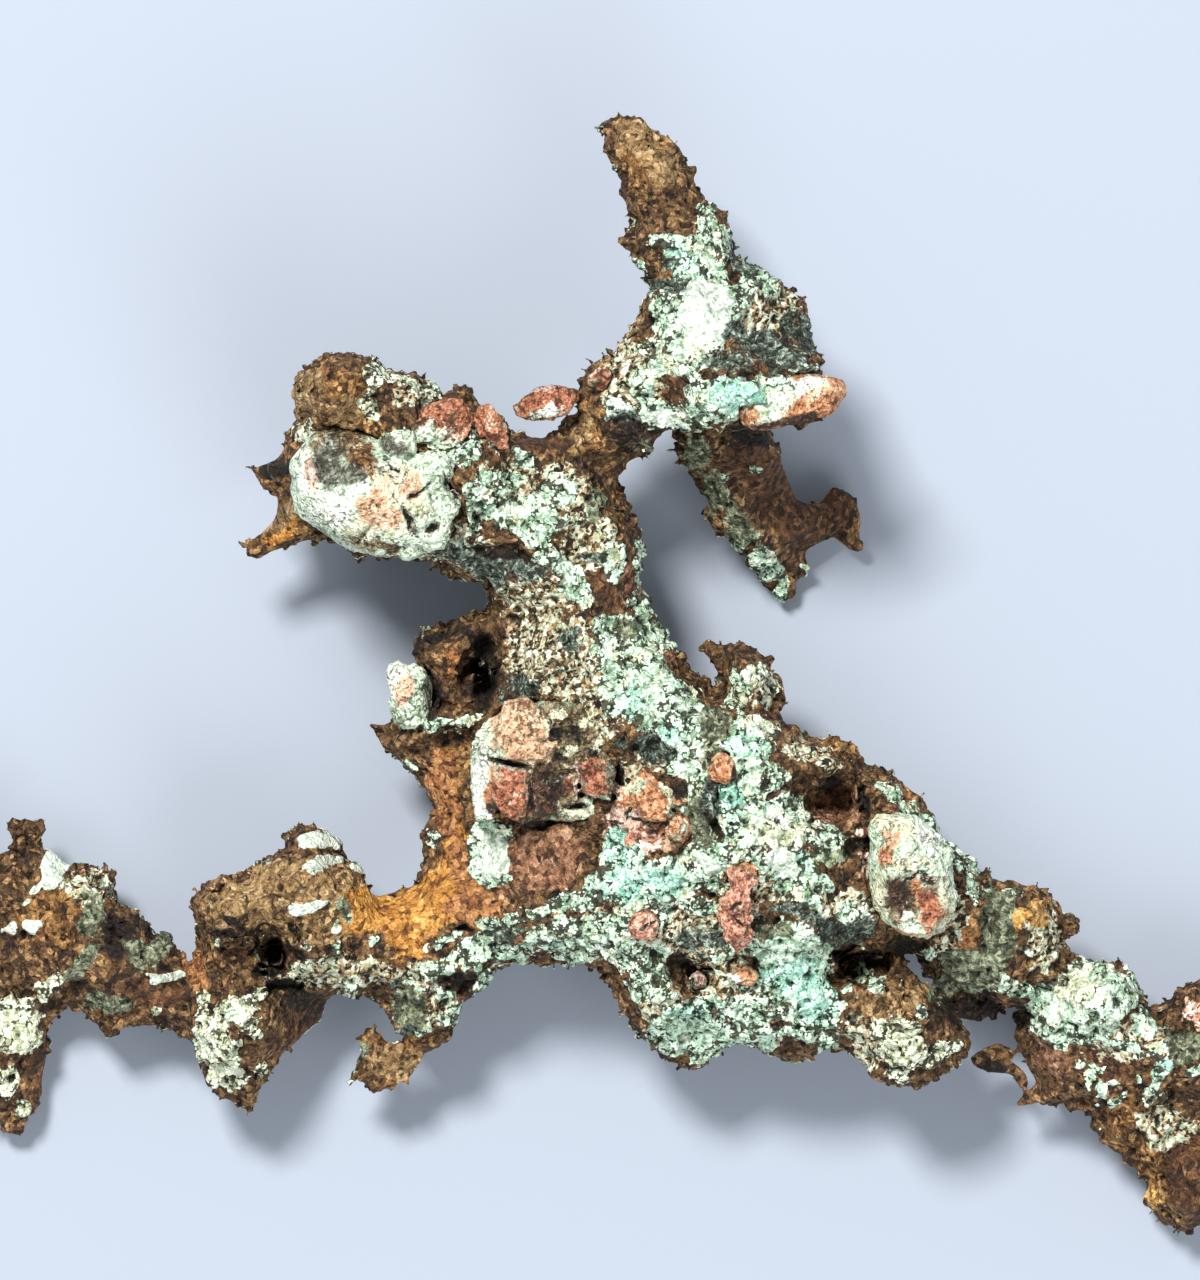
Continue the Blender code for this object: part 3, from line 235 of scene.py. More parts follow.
TURQUOISE = [
    (5.8, 41.4, 1.4, 1.8), (11.4, 28.6, 2.2, 1.4), (14, 27.6, 5, 1.4, 8), (0.2, -16.8, 2, 2.4),
    (1.6, -20.6, 4.6, 1.6, 10), (19.8, -32.4, 2.2, 3), (17, -29.6, 3, 2), (0.8, -2.6, 1.8, 1.8, -20),
    (5, -5.4, 1.8, 1.2, -30), (11.4, -11.8, 1.2, 2.4), (17.2, -18, 2, 1.2), (7.4, -33.4, 2.6, 1.2),
    (12.4, -6.4, 2.4, 1.6), (17.8, 35.6, 0.6, 2.2, 20), (55.6, -36.6, 1, 0.8), (54.2, -39.4, 0.8, 1.2),
]
VERDIGRIS = [
    (32.4, -31.4, 1.7, 0.8, -20), (-27.8, -23.4, 0.9, 1.6, 20), (-53, -24, 1, 2.4),
    (-54, -28.6, 2.6, 0.9, 45), (-51.6, -32.8, 2.1, 1.1, -20), (-48.4, -27.4, 1.2, 2.4, 30),
    (-46.4, -27.2, 1.4, 1), (-21.2, -33, 1.8, 2), (38, -25, 1.9, 4.2), (34.8, -29.2, 2.8, 2, -20),
    (7.6, 22.2, 1.3, 1.6), (9.8, 18, 1.2, 2.9, 32), (12.4, 14.8, 1.2, 2.6, 42), (-2.2, 17.4, 1.1, 1.8),
    (0.8, 4.8, 1.3, 0.9, -20), (9.6, -4.4, 1.2, 1.8), (7.8, -14.4, 1.6, 2.4), (9, -7.8, 0.9, 1.6),
    (-25.8, -37.8, 0.5, 0.9), (56.4, -37, 1.6, 1.6), (15.4, -25.4, 2.2, 0.8), (1.8, 23.2, 1.6, 0.6, -10),
    (12.4, -23.6, 1, 1.6), (21.8, -17.8, 1.2, 0.8),
]
MIXED = [
    (-8.6, 7.4, 3.4, 2.6), (-8.6, 2.4, 3, 4.6), (-4.4, 2, 2.6, 4.4), (-4.6, -4.2, 4.2, 2.2),
    (4.2, -7.6, 3.4, 2.2), (0.6, -10, 3, 1.6), (14.6, -1.4, 1.8, 1.8), (3, -27, 4.6, 2.6),
    (1, -23.6, 3.4, 1.8), (8.4, -24, 3, 1.8), (10, -29.6, 2.6, 2.4), (4.6, -32.8, 2.6, 2),
    (-28, -29.6, 6, 1.6), (-19.4, -31.6, 3, 3.2), (13.6, 35.6, 1, 3.6), (-9, 18.6, 5.6, 3.2),
    (-16, 12.6, 6.4, 2, -15), (9.6, -27, 4.6, 1.6), (13, -21, 5, 1.4), (15.4, 36.6, 2.4, 2.8, -30),
    (1.4, 29.8, 3, 4), (51, -36.6, 4, 2), (42.6, -26.4, 1.8, 3.6), (-53, -21, 2.6, 1.6),
    (24.6, -36.6, 2.4, 2.6), (33, -24.6, 1.6, 3.2), (22.6, -22.6, 3.6, 1.2), (19.4, -7.6, 2.8, 1.4, -20),
    (-20.4, 28.2, 2.2, 1.4), (54.6, -45.4, 3, 1.8), (-3.2, 13.4, 2.4, 3.2),
]
OCHRE = [
    (41.8, -23, 0.8, 1.7, 12), (53.7, -52.2, 0.6, 1.4, 10), (-33.6, 14.6, 1.6, 0.6, 20),
    (-19, -22.4, 4.6, 2.4, 20), (-21.6, -25.2, 3, 2.6), (-24.4, -24.2, 4, 2), (-16.6, -19.4, 2, 4.2, -10),
    (-25.4, -22.8, 3, 1.4),
]
CHALK = [
    (46.4, -31.8, 3.2, 2.6, 10), (15.2, -14.8, 2.6, 1.8), (18.6, -31.6, 2, 2.4), (-40, -38.8, 1.6, 1.4),
    (-38.4, -33.4, 1.6, 0.9, 20), (-60.6, -35, 1.8, 1.8), (12.6, 27.6, 3.8, 1.2, 8), (-9.8, 18.8, 1.8, 0.9),
    (28.2, -37.4, 1.8, 1.2), (2, -20, 3.2, 1, 10), (9, -18.8, 2, 0.9), (0.4, -16.6, 1.2, 1.6),
    (12.2, -8.4, 1.4, 2.6), (2.8, -0.8, 1.6, 2, -30), (-13.4, -16, 1, 1.2), (8, 33, 2.2, 1.2),
    (4.4, 30.8, 1.4, 0.8), (17.2, -27.6, 2.6, 2.2), (7.6, -35.6, 2.4, 1, -10), (-10.4, 16.2, 2.2, 0.8),
    (-41.4, -35.6, 0.9, 1.4), (53, -34.6, 0.8, 1),
]
WARM = [
    (-60, -32, 10, 14), (-37, -34, 9, 10), (45.4, -31.4, 1.6, 1.8), (29, -37, 5, 4), (-27, 27, 8, 5),
    (15, -2, 3, 3), (16, -16, 3, 2), (-10, 0, 6, 5),
]
GOLD = [(41.8, -23.2, 0.8, 1.7, 12), (53.6, -52.4, 0.6, 1.3, 10), (40.2, -24.4, 0.5, 1)]
EMBER = [
    (-14.8, -22.2, 2.2, 2.6, -30), (-16, -18.6, 1.6, 2.4), (-17.6, -11.6, 1.6, 3.8),
    (-12.6, -23.4, 1.4, 0.9, 30), (-16.8, 1.4, 0.8, 1.8), (-42.6, -29.6, 0.9, 2.6), (34.2, -25.8, 1.6, 2),
    (58.4, -34, 1.4, 1), (29.4, -12.6, 0.8, 1.4, 30),
]
SAND = [
    (-33, -21.4, 7, 2.8, 12), (-40.4, -22.6, 1.8, 2.6), (-28.6, -25.2, 4.2, 1.8), (-27, 26, 2.2, 1.8),
    (-26, 22.6, 1.6, 2.6, 35), (-31, 28.2, 1.9, 2.6), (-4.6, 24, 1.4, 2.8, -40),
    (-0.4, 33.6, 1.6, 3.4, -35), (1.8, 53.8, 2.8, 1.8, -15), (4.2, 51.2, 2.2, 1.8, -30),
    (-22.4, -38.4, 3, 1.8), (-32.6, 16.6, 3.2, 1.1, 25), (42, -23.6, 0.9, 2.4, 20), (54, -52.4, 0.7, 1.4),
    (25.6, -34, 2.4, 1.6), (28.4, -31.6, 2.2, 1.4), (18.2, -6.6, 2.2, 0.9, -15),
]
RED = [
    (-7.4, -18.2, 4.4, 2.8, 10), (-10.8, -20.8, 2.4, 1.6), (-53.6, -20.2, 2.4, 1), (1.2, 8.8, 1.6, 2.2),
    (3, -24.8, 1, 2, -20), (1.6, -14.4, 3.2, 1.8), (22, -12.8, 2.4, 2.4), (25.6, -19.4, 1.8, 2.4, 20),
    (4.8, 2.8, 1, 1), (7.4, 31.6, 1.1, 0.6), (28, -13.6, 1.6, 1.2), (11.6, -22.6, 1.6, 3.2),
    (54, -31.8, 0.8, 1.2), (50, -29.6, 1.2, 0.6, -20), (43.2, -38.4, 1.8, 2.4, 20),
]
BLUSH = [
    (1.2, -15.6, 3, 2.2), (12, -23.6, 1.8, 3.6), (3, -25, 1.4, 2), (14.6, -29.8, 1, 1),
    (-7.4, 8.6, 2.6, 1.2), (5.4, 30.6, 1.6, 0.7, -10), (24.8, -17.2, 1.2, 2.4, 20), (57.6, -33.6, 1.2, 1.2),
]
TAN = [
    (-8.6, 8, 3.2, 1.8), (-10.9, 4, 0.9, 3.8), (-6.6, -3.6, 1.2, 1.6, 20), (5.2, -30.6, 1.2, 1),
    (12.8, -14, 1, 0.6), (3.6, -16.2, 2, 0.9),
]
GILT = [
    (19.6, 19.6, 0.9, 5.6, 38), (19.4, 10.4, 0.9, 3, 10), (24.4, 15.6, 0.8, 2.2), (23.2, 19.2, 1.4, 0.6),
    (-33.4, 15.8, 3.4, 2.4, 30), (-34.4, 21.4, 1.8, 1.6), (2.6, 52.4, 2.6, 3.6, -25), (-28.6, 28, 3.4, 3),
    (-26, 24.4, 2.6, 2.2, 30), (42.4, -23.8, 1.8, 2.6, 20), (54.4, -50, 3, 4), (-3.4, 24.6, 2.4, 2.6, -40),
    (-8, 23.4, 3, 1.2), (-57, -24, 4, 3), (21.6, -6, 2.4, 2, -30), (-22, -38, 3, 2.6), (-16.4, -8.6, 2, 2),
    (-3, 12, 1, 4, 5), (51, -45, 3, 3, -30), (31.4, -31.4, 1.8, 1.2), (28, -33.6, 1.2, 0.8),
]
BARE = [
    (-3.8, 15.8, 0.8, 2.6, 10), (-2.9, 11.6, 0.7, 3.6, 5), (-1, 8.8, 1.6, 2), (4.6, 28.6, 2.7, 1.3, -35),
    (-8, 23.2, 3, 1), (-12.2, 21.2, 3, 0.8, -5), (48.4, -38.4, 3, 2.2), (-46.6, -31.8, 3, 1.6),
    (60, -50, 5, 6), (-58, -39.6, 1.6, 3), (-31.2, -35, 2.2, 4.2, -32), (16.4, 17.4, 2.6, 7, 34),
    (22, 16.8, 2, 2.4), (12.6, 21.6, 2.4, 1.6),
]
# Crust painted dark green-grey as shade, under the ledges and overhangs and in recesses
SHADED_CRUST = [
    (15.6, 32.2, 4.6, 2.2, -12), (11.4, 31.4, 3, 1.1), (18.2, 34, 1.4, 2.6, 35), (12, 33.8, 2.2, 1.2),
    (12.2, 41.4, 1.8, 1.4, -40), (4.8, 39, 2, 0.8, -10), (4.6, 41, 0.9, 0.8), (-13.4, 11.4, 4.4, 1.8, -20),
    (-10.2, 10.8, 3, 1.2), (-17.4, 12.6, 3, 0.9, -10), (-9.6, -1.2, 2.2, 1.5), (13.2, -24.4, 1.6, 0.8),
    (19.6, -24.4, 2.4, 0.7, -8), (8, -26, 2.6, 1.2), (22.6, -25.4, 3.6, 1.3), (3, -7.4, 3.2, 1.4, -10),
    (9, -11.8, 1, 2), (-11.4, -25.4, 2.6, 0.9, 5), (-5.2, 3.4, 1.4, 1.6), (14, 26, 0.6, 0.6),
    (15.2, 30.2, 1, 1, 30), (-3, 11.8, 1.4, 0.6), (17, -23.2, 2.4, 0.8), (-22.2, -31, 1.2, 0.8),
    (-21.6, -35.4, 1.6, 0.8), (0.6, 25.8, 2, 0.7), (-19.4, 25.6, 0.7, 0.7),
]
# Painted shadow: near-black spots where shade falls, in the carved hollows and crevices, under the ledge and
# under the right shoulder
PAINTED_SHADOWS = [
    (-20, -1.6, 3.4, 1.6), (-19, -3.2, 1.6, 1.2), (-36.8, -25.4, 0.8, 0.3, -15), (-34.6, -27.8, 1, 1.7, 15),
    (-35.8, -29.1, 1.1, 0.7, -20), (-36.4, -26.9, 0.9, 0.3, -30), (-17.6, 4.2, 2.8, 0.6, 10),
    (-20.8, 2.8, 0.9, 0.7), (-32.3, -25.6, 0.35, 1.1, 20), (-33.6, -30.9, 2.4, 0.7, 5),
    (-16, -25.1, 1, 0.5, 10), (-16.6, -30.2, 2.2, 1.1, -5), (13.6, 24, 3.4, 1.2), (1.6, 24.2, 3.2, 1.3),
    (7, -28.8, 1.7, 1, -10), (22.4, -27.6, 1.4, 1, -20), (25.4, -28.4, 1.5, 0.6, -20), (-31.4, -32.8, 2, 2),
    (-13.9, 0.6, 1.6, 3.6), (-19.8, -1.2, 1.8, 2.4, 10), (-38.8, -24.6, 2.2, 0.5, -25),
    (-32.4, -27.4, 1.4, 0.45, -40), (24.6, -16.6, 2.2, 0.9), (24.2, -12, 0.6, 2.2, 20),
    (-0.4, -10.4, 0.5, 2.4), (-6.4, -14.4, 3.4, 0.7, 5), (-34.6, 21, 1.6, 1), (-50, -25, 2.2, 1.4),
    (35.6, -33.6, 5.2, 1.6, -8), (28.4, -27.4, 1.6, 0.9), (37.2, -39.6, 1.2, 1.2), (20.8, -10.4, 1.6, 0.8),
    (-39.4, -26, 2.2, 0.5), (-11.6, 12.4, 3.6, 0.6, -12), (-20, 12.8, 2.6, 0.6),
    (-50.6, -30.4, 1.6, 0.6, 30), (-29.6, 24, 0.6, 0.9), (9.4, -14.8, 0.4, 1.6, 20), (-50.8, -27.4, 1.5, 1),
    (-48.8, -29.6, 1.2, 0.7, 20), (-47.4, -25.2, 1, 0.6, -30), (-46, -28.8, 1, 0.5),
    (-54.2, -31, 1.2, 0.5, 40), (5.4, -11.4, 0.8, 1.2),
]
SMOOTH = OCHRE + PLATE + BARE + [
    (-7.4, -18.2, 4.4, 2.8, 10), (15.4, 17, 3.6, 8, 32), (22.4, 16.4, 2.4, 3.2),
    (-33.6, 15.8, 3.6, 2.6, 30), (-34.4, 21.4, 2, 1.8), (38.6, -41.2, 4, 2.4), (-34, -35.6, 1.6, 3.6, -30),
]

# Carved hollows: x, y, half length, half width, turn, depth
HOLLOWS = [
    (-37, -25.4, 1.2, 0.4, -15, 0.7), (-34.6, -27.8, 0.9, 1.6, 15, 3.2), (-32.2, -25.6, 0.4, 1.3, 20, 1),
    (-35.8, -29.1, 1.1, 0.7, -20, 2), (-36.6, -26.8, 1.3, 0.4, -30, 0.8), (-33.6, -30.9, 2.4, 0.7, 5, 1.8),
    (-40.4, -21.5, 0.6, 0.8, 0, 1.2), (-16.6, -30.2, 2.4, 1.3, -5, 1.5), (-16, -25.1, 1, 0.6, 10, 1.2),
    (-13.6, 0.8, 1.1, 3.2, 0, 2.4), (-19.2, -2.4, 3, 0.8, 0, 1.4), (-19.6, -0.8, 1, 1.8, 10, 1.5),
    (7.4, -29.2, 1.9, 1.4, -10, 1.3), (22.8, -27.8, 2, 1.2, -20, 2), (26, -28.5, 1.8, 0.8, -20, 1.4),
    (21.4, -12.6, 2.4, 2, 0, 0.7), (24.2, -12, 0.6, 2.2, 20, 1.6), (24.6, -16.6, 2.2, 0.9, 0, 1.2),
    (9.5, -13.6, 0.3, 2.8, -15, 1.2), (-0.4, -10.4, 0.5, 2.4, 0, 1.4), (-39.4, -26, 2.2, 0.6, 0, 1),
    (-6.4, -14.4, 3.4, 0.7, 5, 1), (-14.6, 16.2, 0.5, 3, -8, 1.2), (15, -24.6, 4.6, 0.7, 0, 0.6),
    (36.6, -26.6, 0.5, 3.4, 0, 0.8), (-50, -25.6, 1.6, 1.2, 0, 1), (-11.6, 12.4, 3.6, 0.7, -12, 1),
    (3, -7.6, 3, 1, -10, 1),
]
# Places that are thinner than the frame's own branches: x, y, half length, half width, turn, depth all round
THIN = [
    (39.4, -41.2, 2.4, 2.4, 0, 0.4), (-60.2, -17, 1.8, 0.9, 0, 0.5), (-33.2, 15, 2, 1, 25, 0.2),
]
# Places pushed aside: x, y, half length, half width, turn, and how far to the right and up
PUSHED = [
    (38.8, -41, 1.6, 2, 0, 1.3, 0.2), (36.6, -38.2, 1.4, 1.2, 0, -0.4, -0.2),
    (-59.6, -13, 2, 1.2, 0, 0, -1),
]
LAYOUT = {
    "crust": CRUST, "plate": PLATE, "turquoise": TURQUOISE, "verdigris": VERDIGRIS, "mixed": MIXED,
    "ochre": OCHRE, "ember": EMBER, "sand": SAND, "red": RED, "tan": TAN, "blush": BLUSH, "bare": BARE,
    "gilt": GILT, "dark": SHADED_CRUST, "painted_shadow": PAINTED_SHADOWS, "gold": GOLD, "chalk": CHALK, "warm": WARM,
}


# Meshes ----------------------------------------------------------------------------------------------

def in_millimetres(node):
    """A CAD node's mesh as one closed bmesh, in millimetres."""
    shape = bmesh.new()
    shape.from_mesh(frame["nodes"][node].data)
    bmesh.ops.scale(shape, vec=(1 / MM,) * 3, verts=shape.verts)
    bmesh.ops.remove_doubles(shape, verts=shape.verts, dist=0.002)
    shape.normal_update()
    return shape


def grown(shape, distance):
    normals = [vertex.normal.copy() for vertex in shape.verts]
    for vertex, normal in zip(shape.verts, normals):
        vertex.co += normal * distance


def merged(nodes, distance):
    """One mesh of several nodes, each grown a little."""
    joined = bmesh.new()
    for node in nodes:
        shape = in_millimetres(node)
        grown(shape, distance)
        single = bpy.data.meshes.new("single")
        shape.to_mesh(single)
        shape.free()
        joined.from_mesh(single)
        bpy.data.meshes.remove(single)
    mesh = bpy.data.meshes.new("merged")
    joined.to_mesh(mesh)
    joined.free()
    return mesh


def remeshed(mesh, voxel):
    """The mesh's outside on an even grid of quads. The mesh itself is removed."""
    holder = bpy.data.objects.new("holder", mesh)
    bpy.context.scene.collection.objects.link(holder)
    modifier = holder.modifiers.new("even", "REMESH")
    modifier.mode = "VOXEL"
    modifier.voxel_size = voxel
    bpy.context.view_layer.update()
    made = bpy.data.meshes.new_from_object(holder.evaluated_get(bpy.context.evaluated_depsgraph_get()))
    bpy.data.objects.remove(holder)
    bpy.data.meshes.remove(mesh)
    return made


def taken_apart(mesh):
    """The points, edges and quads of a mesh as arrays. The mesh is removed."""
    points = np.empty(len(mesh.vertices) * 3)
    edges = np.empty(len(mesh.edges) * 2, dtype=np.int64)
    quads = np.empty(len(mesh.loops), dtype=np.int64)
    mesh.vertices.foreach_get("co", points)
    mesh.edges.foreach_get("vertices", edges)
    mesh.loops.foreach_get("vertex_index", quads)
    bpy.data.meshes.remove(mesh)
    return points.reshape(-1, 3), edges.reshape(-1, 2), quads.reshape(-1, 4)


def normals_at(points, quads):
    across = np.cross(points[quads[:, 2]] - points[quads[:, 0]], points[quads[:, 3]] - points[quads[:, 1]])
    total = np.stack([
        np.bincount(quads.ravel(), weights=np.repeat(across[:, axis], 4), minlength=len(points))
        for axis in range(3)], axis=1)
    return total / np.maximum(np.linalg.norm(total, axis=1, keepdims=True), 1e-9)


def relaxed(values, edges, rounds, strength=0.5):
    """Values averaged with their neighbours', several times."""
    count = np.bincount(edges.ravel(), minlength=len(values)).astype(float)
    for _ in range(rounds):
        columns = []
        for column in values.reshape(len(values), -1).T:
            around = np.bincount(edges[:, 0], weights=column[edges[:, 1]], minlength=len(values))
            around += np.bincount(edges[:, 1], weights=column[edges[:, 0]], minlength=len(values))
            columns.append(column + strength * (around / count - column))
        values = np.stack(columns, axis=1).reshape(values.shape)
    return values


def without_bits(points, edges, quads):
    """The mesh without its small loose bits and inner bubbles."""
    labels = np.arange(len(points))
    while True:
        lowest = labels.copy()
        np.minimum.at(lowest, edges[:, 0], labels[edges[:, 1]])
        np.minimum.at(lowest, edges[:, 1], labels[edges[:, 0]])
        lowest = lowest[lowest]
        if np.array_equal(lowest, labels):
            break
        labels = lowest
    kept = np.bincount(labels, minlength=len(points))[labels] >= SMALLEST_PART
    number = np.cumsum(kept) - 1
    return points[kept], number[edges[kept[edges[:, 0]]]], number[quads[kept[quads[:, 0]]]]


def mesh_from(name, points, faces):
    mesh = bpy.data.meshes.new(name)
    mesh.from_pydata((points * MM).tolist(), [], faces)
    mesh.polygons.foreach_set("use_smooth", [True] * len(mesh.polygons))
    mesh.update()
    return mesh


def store(mesh, name, values):
    layer = mesh.attributes.new(name, "FLOAT", "POINT")
    layer.data.foreach_set("value", values.astype(np.float32))


def add_piece(name, mesh, node, material):
    piece = bpy.data.objects.new(name, mesh)
    bpy.context.scene.collection.objects.link(piece)
    mesh.materials.append(material)
    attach(piece, "root")
    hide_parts(node)


# Copper skin -----------------------------------------------------------------------------------------

def wandered(points):
    """The points moved about a little, so that what is laid out in ellipses gets a ragged outline."""
    drift = np.stack([waves(points, 2.6, 40 + k) for k in range(3)], axis=1) * 0.5
    drift += np.stack([waves(points, 1.0, 45 + k) for k in range(3)], axis=1) * 0.4
    return points + drift


def colour_fields(points, normals):
    """The soft colour fields of the copper, each near 0 outside its places and 1 in their middle."""
    facing = step_up(normals[:, 2], -0.45, 0.1)
    moved = wandered(points)
    broken = 0.4 * layered(points, 1.8, 3, 50)
    underside = {
        "crust": 0.36 + 0.5 * layered(points, 7.0, 3, 60),
        "mixed": 0.4 + 0.5 * layered(points, 6.0, 2, 61),
    }
    fields = {}
    for name, places in LAYOUT.items():
        below = underside.get(name, 0.0)
        breakup = 0.25 if name in ("plate", "bare") else 1.0
        fields[name] = facing * spots(moved, places) + (1 - facing) * below + breakup * broken
    return fields


def sculpted(points, normals, fields):
    """How far the skin stands out along its normals at each point. The pits are added to the fields."""
    crusted = step_up(fields["crust"], 0.38, 0.5)
    plated = step_up(fields["plate"], 0.42, 0.5)
    rough = 1 - 0.8 * step_up(spots(points, SMOOTH), 0.3, 0.7)
    fine = grains(points, 0.75, 3)
    pitting = layered(points, 1.1, 3, 5)
    fields["hole"] = pitting
    stand_out = 0.4 * layered(points, 5.0, 2, 1)
    stand_out += rough * (0.5 * layered(points, 2.8, 2, 4) + 0.3 * layered(points, 1.4, 2, 2))
    stand_out += (0.3 + 0.7 * rough) * (0.14 + 0.14 * crusted) * (0.5 - fine)
    stand_out -= rough * 0.6 * step_up(pitting, 0.12, 0.55)
    stand_out -= (0.4 + 0.6 * crusted) * rough * 0.35 * step_up(layered(points, 0.8, 2, 9), 0.05, 0.35)
    stand_out += 0.25 * np.maximum(crusted, 1.3 * plated)
    return stand_out - 0.1 - carved(points, THIN)


def crumbs(points, normals, quads, crust):
    """Corners and faces of many small crumbs, flakes and slivers, half sunk into the skin."""
    draw = np.random.default_rng(CRUMB_SEED)
    ball = bmesh.new()
    bmesh.ops.create_icosphere(ball, subdivisions=1, radius=1.0)
    corners = np.array([vertex.co for vertex in ball.verts])
    faces = np.array([[vertex.index for vertex in face.verts] for face in ball.faces])
    ball.free()

    calm = step_up(spots(points, SMOOTH), 0.35, 0.6)
    crusted = step_up(crust, 0.3, 0.5)
    patchy = step_up(layered(points, 4.0, 2, 8), -0.3, 0.4)
    rim = step_up(1 - np.abs(normals[:, 2]), 0.4, 0.9)
    shares = {
        "crumb": (0.2 + 0.8 * crusted) * (1 - 0.9 * calm),
        "flake": (0.35 + patchy + rim) * (1 - 0.6 * crusted) * (1 - 0.9 * calm),
        "sliver": (0.05 + rim * patchy) * (1 - calm),
    }

    def scattered(kind, count, lowest, highest):
        weights = shares[kind][quads[:, 0]]
        at = quads[draw.choice(len(quads), count, p=weights / weights.sum()), 0]
        size = draw.uniform(lowest, highest, (count, 3))
        turned, _ = np.linalg.qr(draw.normal(size=(count, 3, 3)))
        shapes = np.einsum("nij,nvj->nvi", turned, corners[None] * size[:, None])
        return shapes + (points[at] + normals[at] * draw.uniform(-0.1, 0.25, (count, 1)))[:, None]

    shapes = np.concatenate([
        scattered("crumb", CRUMBS, (0.22, 0.22, 0.2), (0.6, 0.6, 0.55)),
        scattered("flake", FLAKES, (0.35, 0.3, 0.16), (1.2, 0.8, 0.3)),
        scattered("sliver", SLIVERS, (0.45, 0.26, 0.24), (0.85, 0.42, 0.36))])
    shifts = np.arange(len(shapes)) * len(corners)
    return shapes.reshape(-1, 3), (faces[None] + shifts[:, None, None]).reshape(-1, 3)


def copper_skin():
    """Points and quads of the whole copper, sculpted, with its fields and each point's node."""
    soft, edges, quads = taken_apart(remeshed(merged(COPPER, OVERLAP), SOFT_VOXEL))
    base = relaxed(soft, edges, 1)
    normals = normals_at(base, quads)
    extra, faces = crumbs(base, normals, quads, colour_fields(base, normals)["crust"])
    rough = bpy.data.meshes.new("rough")
    every_face = quads.tolist() + (faces + len(base)).tolist()
    rough.from_pydata(np.concatenate([base, extra]).tolist(), [], every_face)
    points, edges, quads = without_bits(*taken_apart(remeshed(rough, SKIN_VOXEL)))
    points = relaxed(points, edges, 1, 0.3)
    normals = normals_at(points, quads)
    owner = nearest_nodes(points)
    fields = colour_fields(points, normals)
    sunk = carved(wandered(points), HOLLOWS) * step_up(normals[:, 2], 0.0, 0.4)
    points = points + normals * sculpted(points, normals, fields)[:, None]
    points[:, 2] -= sunk
    for *place, right, up in PUSHED:
        points[:, :2] += step_up(spots(points, [place]), 0.2, 0.9)[:, None] * (right, up)
    points = relaxed(points, edges, 1, 0.3)
    points[:, 2] = np.maximum(points[:, 2], 0.0)
    # How far each point lies in a hollow, small and broad; the colour is darkened there as painted shade
    fields["cavity"] = hollows(points, edges, quads, 6)
    fields["deep"] = hollows(points, edges, quads, 40)
    return points, quads, fields, owner


def hollows(points, edges, quads, rounds):
    """How far each point lies below its smoothed surroundings, in millimetres."""
    settled = relaxed(points, edges, rounds)
    normals = normals_at(settled, quads)
    return np.einsum("ij,ij->i", settled - points, normals)


def nearest_nodes(points):
    """The index in COPPER of the node nearest to each point."""
    vertices, polygons, owners = [], [], []
    for index, node in enumerate(COPPER):
        shape = in_millimetres(node)
        first = len(vertices)
        vertices.extend(vertex.co.copy() for vertex in shape.verts)
        for face in shape.faces:
            polygons.append([first + vertex.index for vertex in face.verts])
            owners.append(index)
        shape.free()
    tree = BVHTree.FromPolygons(vertices, polygons)
    return np.array([owners[tree.find_nearest(point)[2]] for point in points.tolist()])


def make_copper(material):
    points, quads, fields, owner = copper_skin()
    quad_owner = np.median(owner[quads], axis=1).astype(int)
    upper = points[quads[:, 0], 1] > CENTER_SPLIT
    for index, node in enumerate(COPPER):
        parts = {"": np.ones(len(quads), dtype=bool)}
        if node == "copper_center":
            parts = {"_upper": upper, "_lower": ~upper}
        for suffix, part in parts.items():
            mine = quads[(quad_owner == index) & part]
            used, local = np.unique(mine, return_inverse=True)
            mesh = mesh_from("skin_" + node + suffix, points[used], local.reshape(-1, 4).tolist())
            for name, values in fields.items():
                store(mesh, name, values[used])
            add_piece(mesh.name, mesh, node, material)


# Rocks -----------------------------------------------------------------------------------------------

# How high a broken rock's own shape comes round its blocks, as a share of its height
COLLARS = {"core_cobble": 0.62, "orange_crystals": 0.25, "red_rock_head": 0.3, "red_chip_head": 0.3}
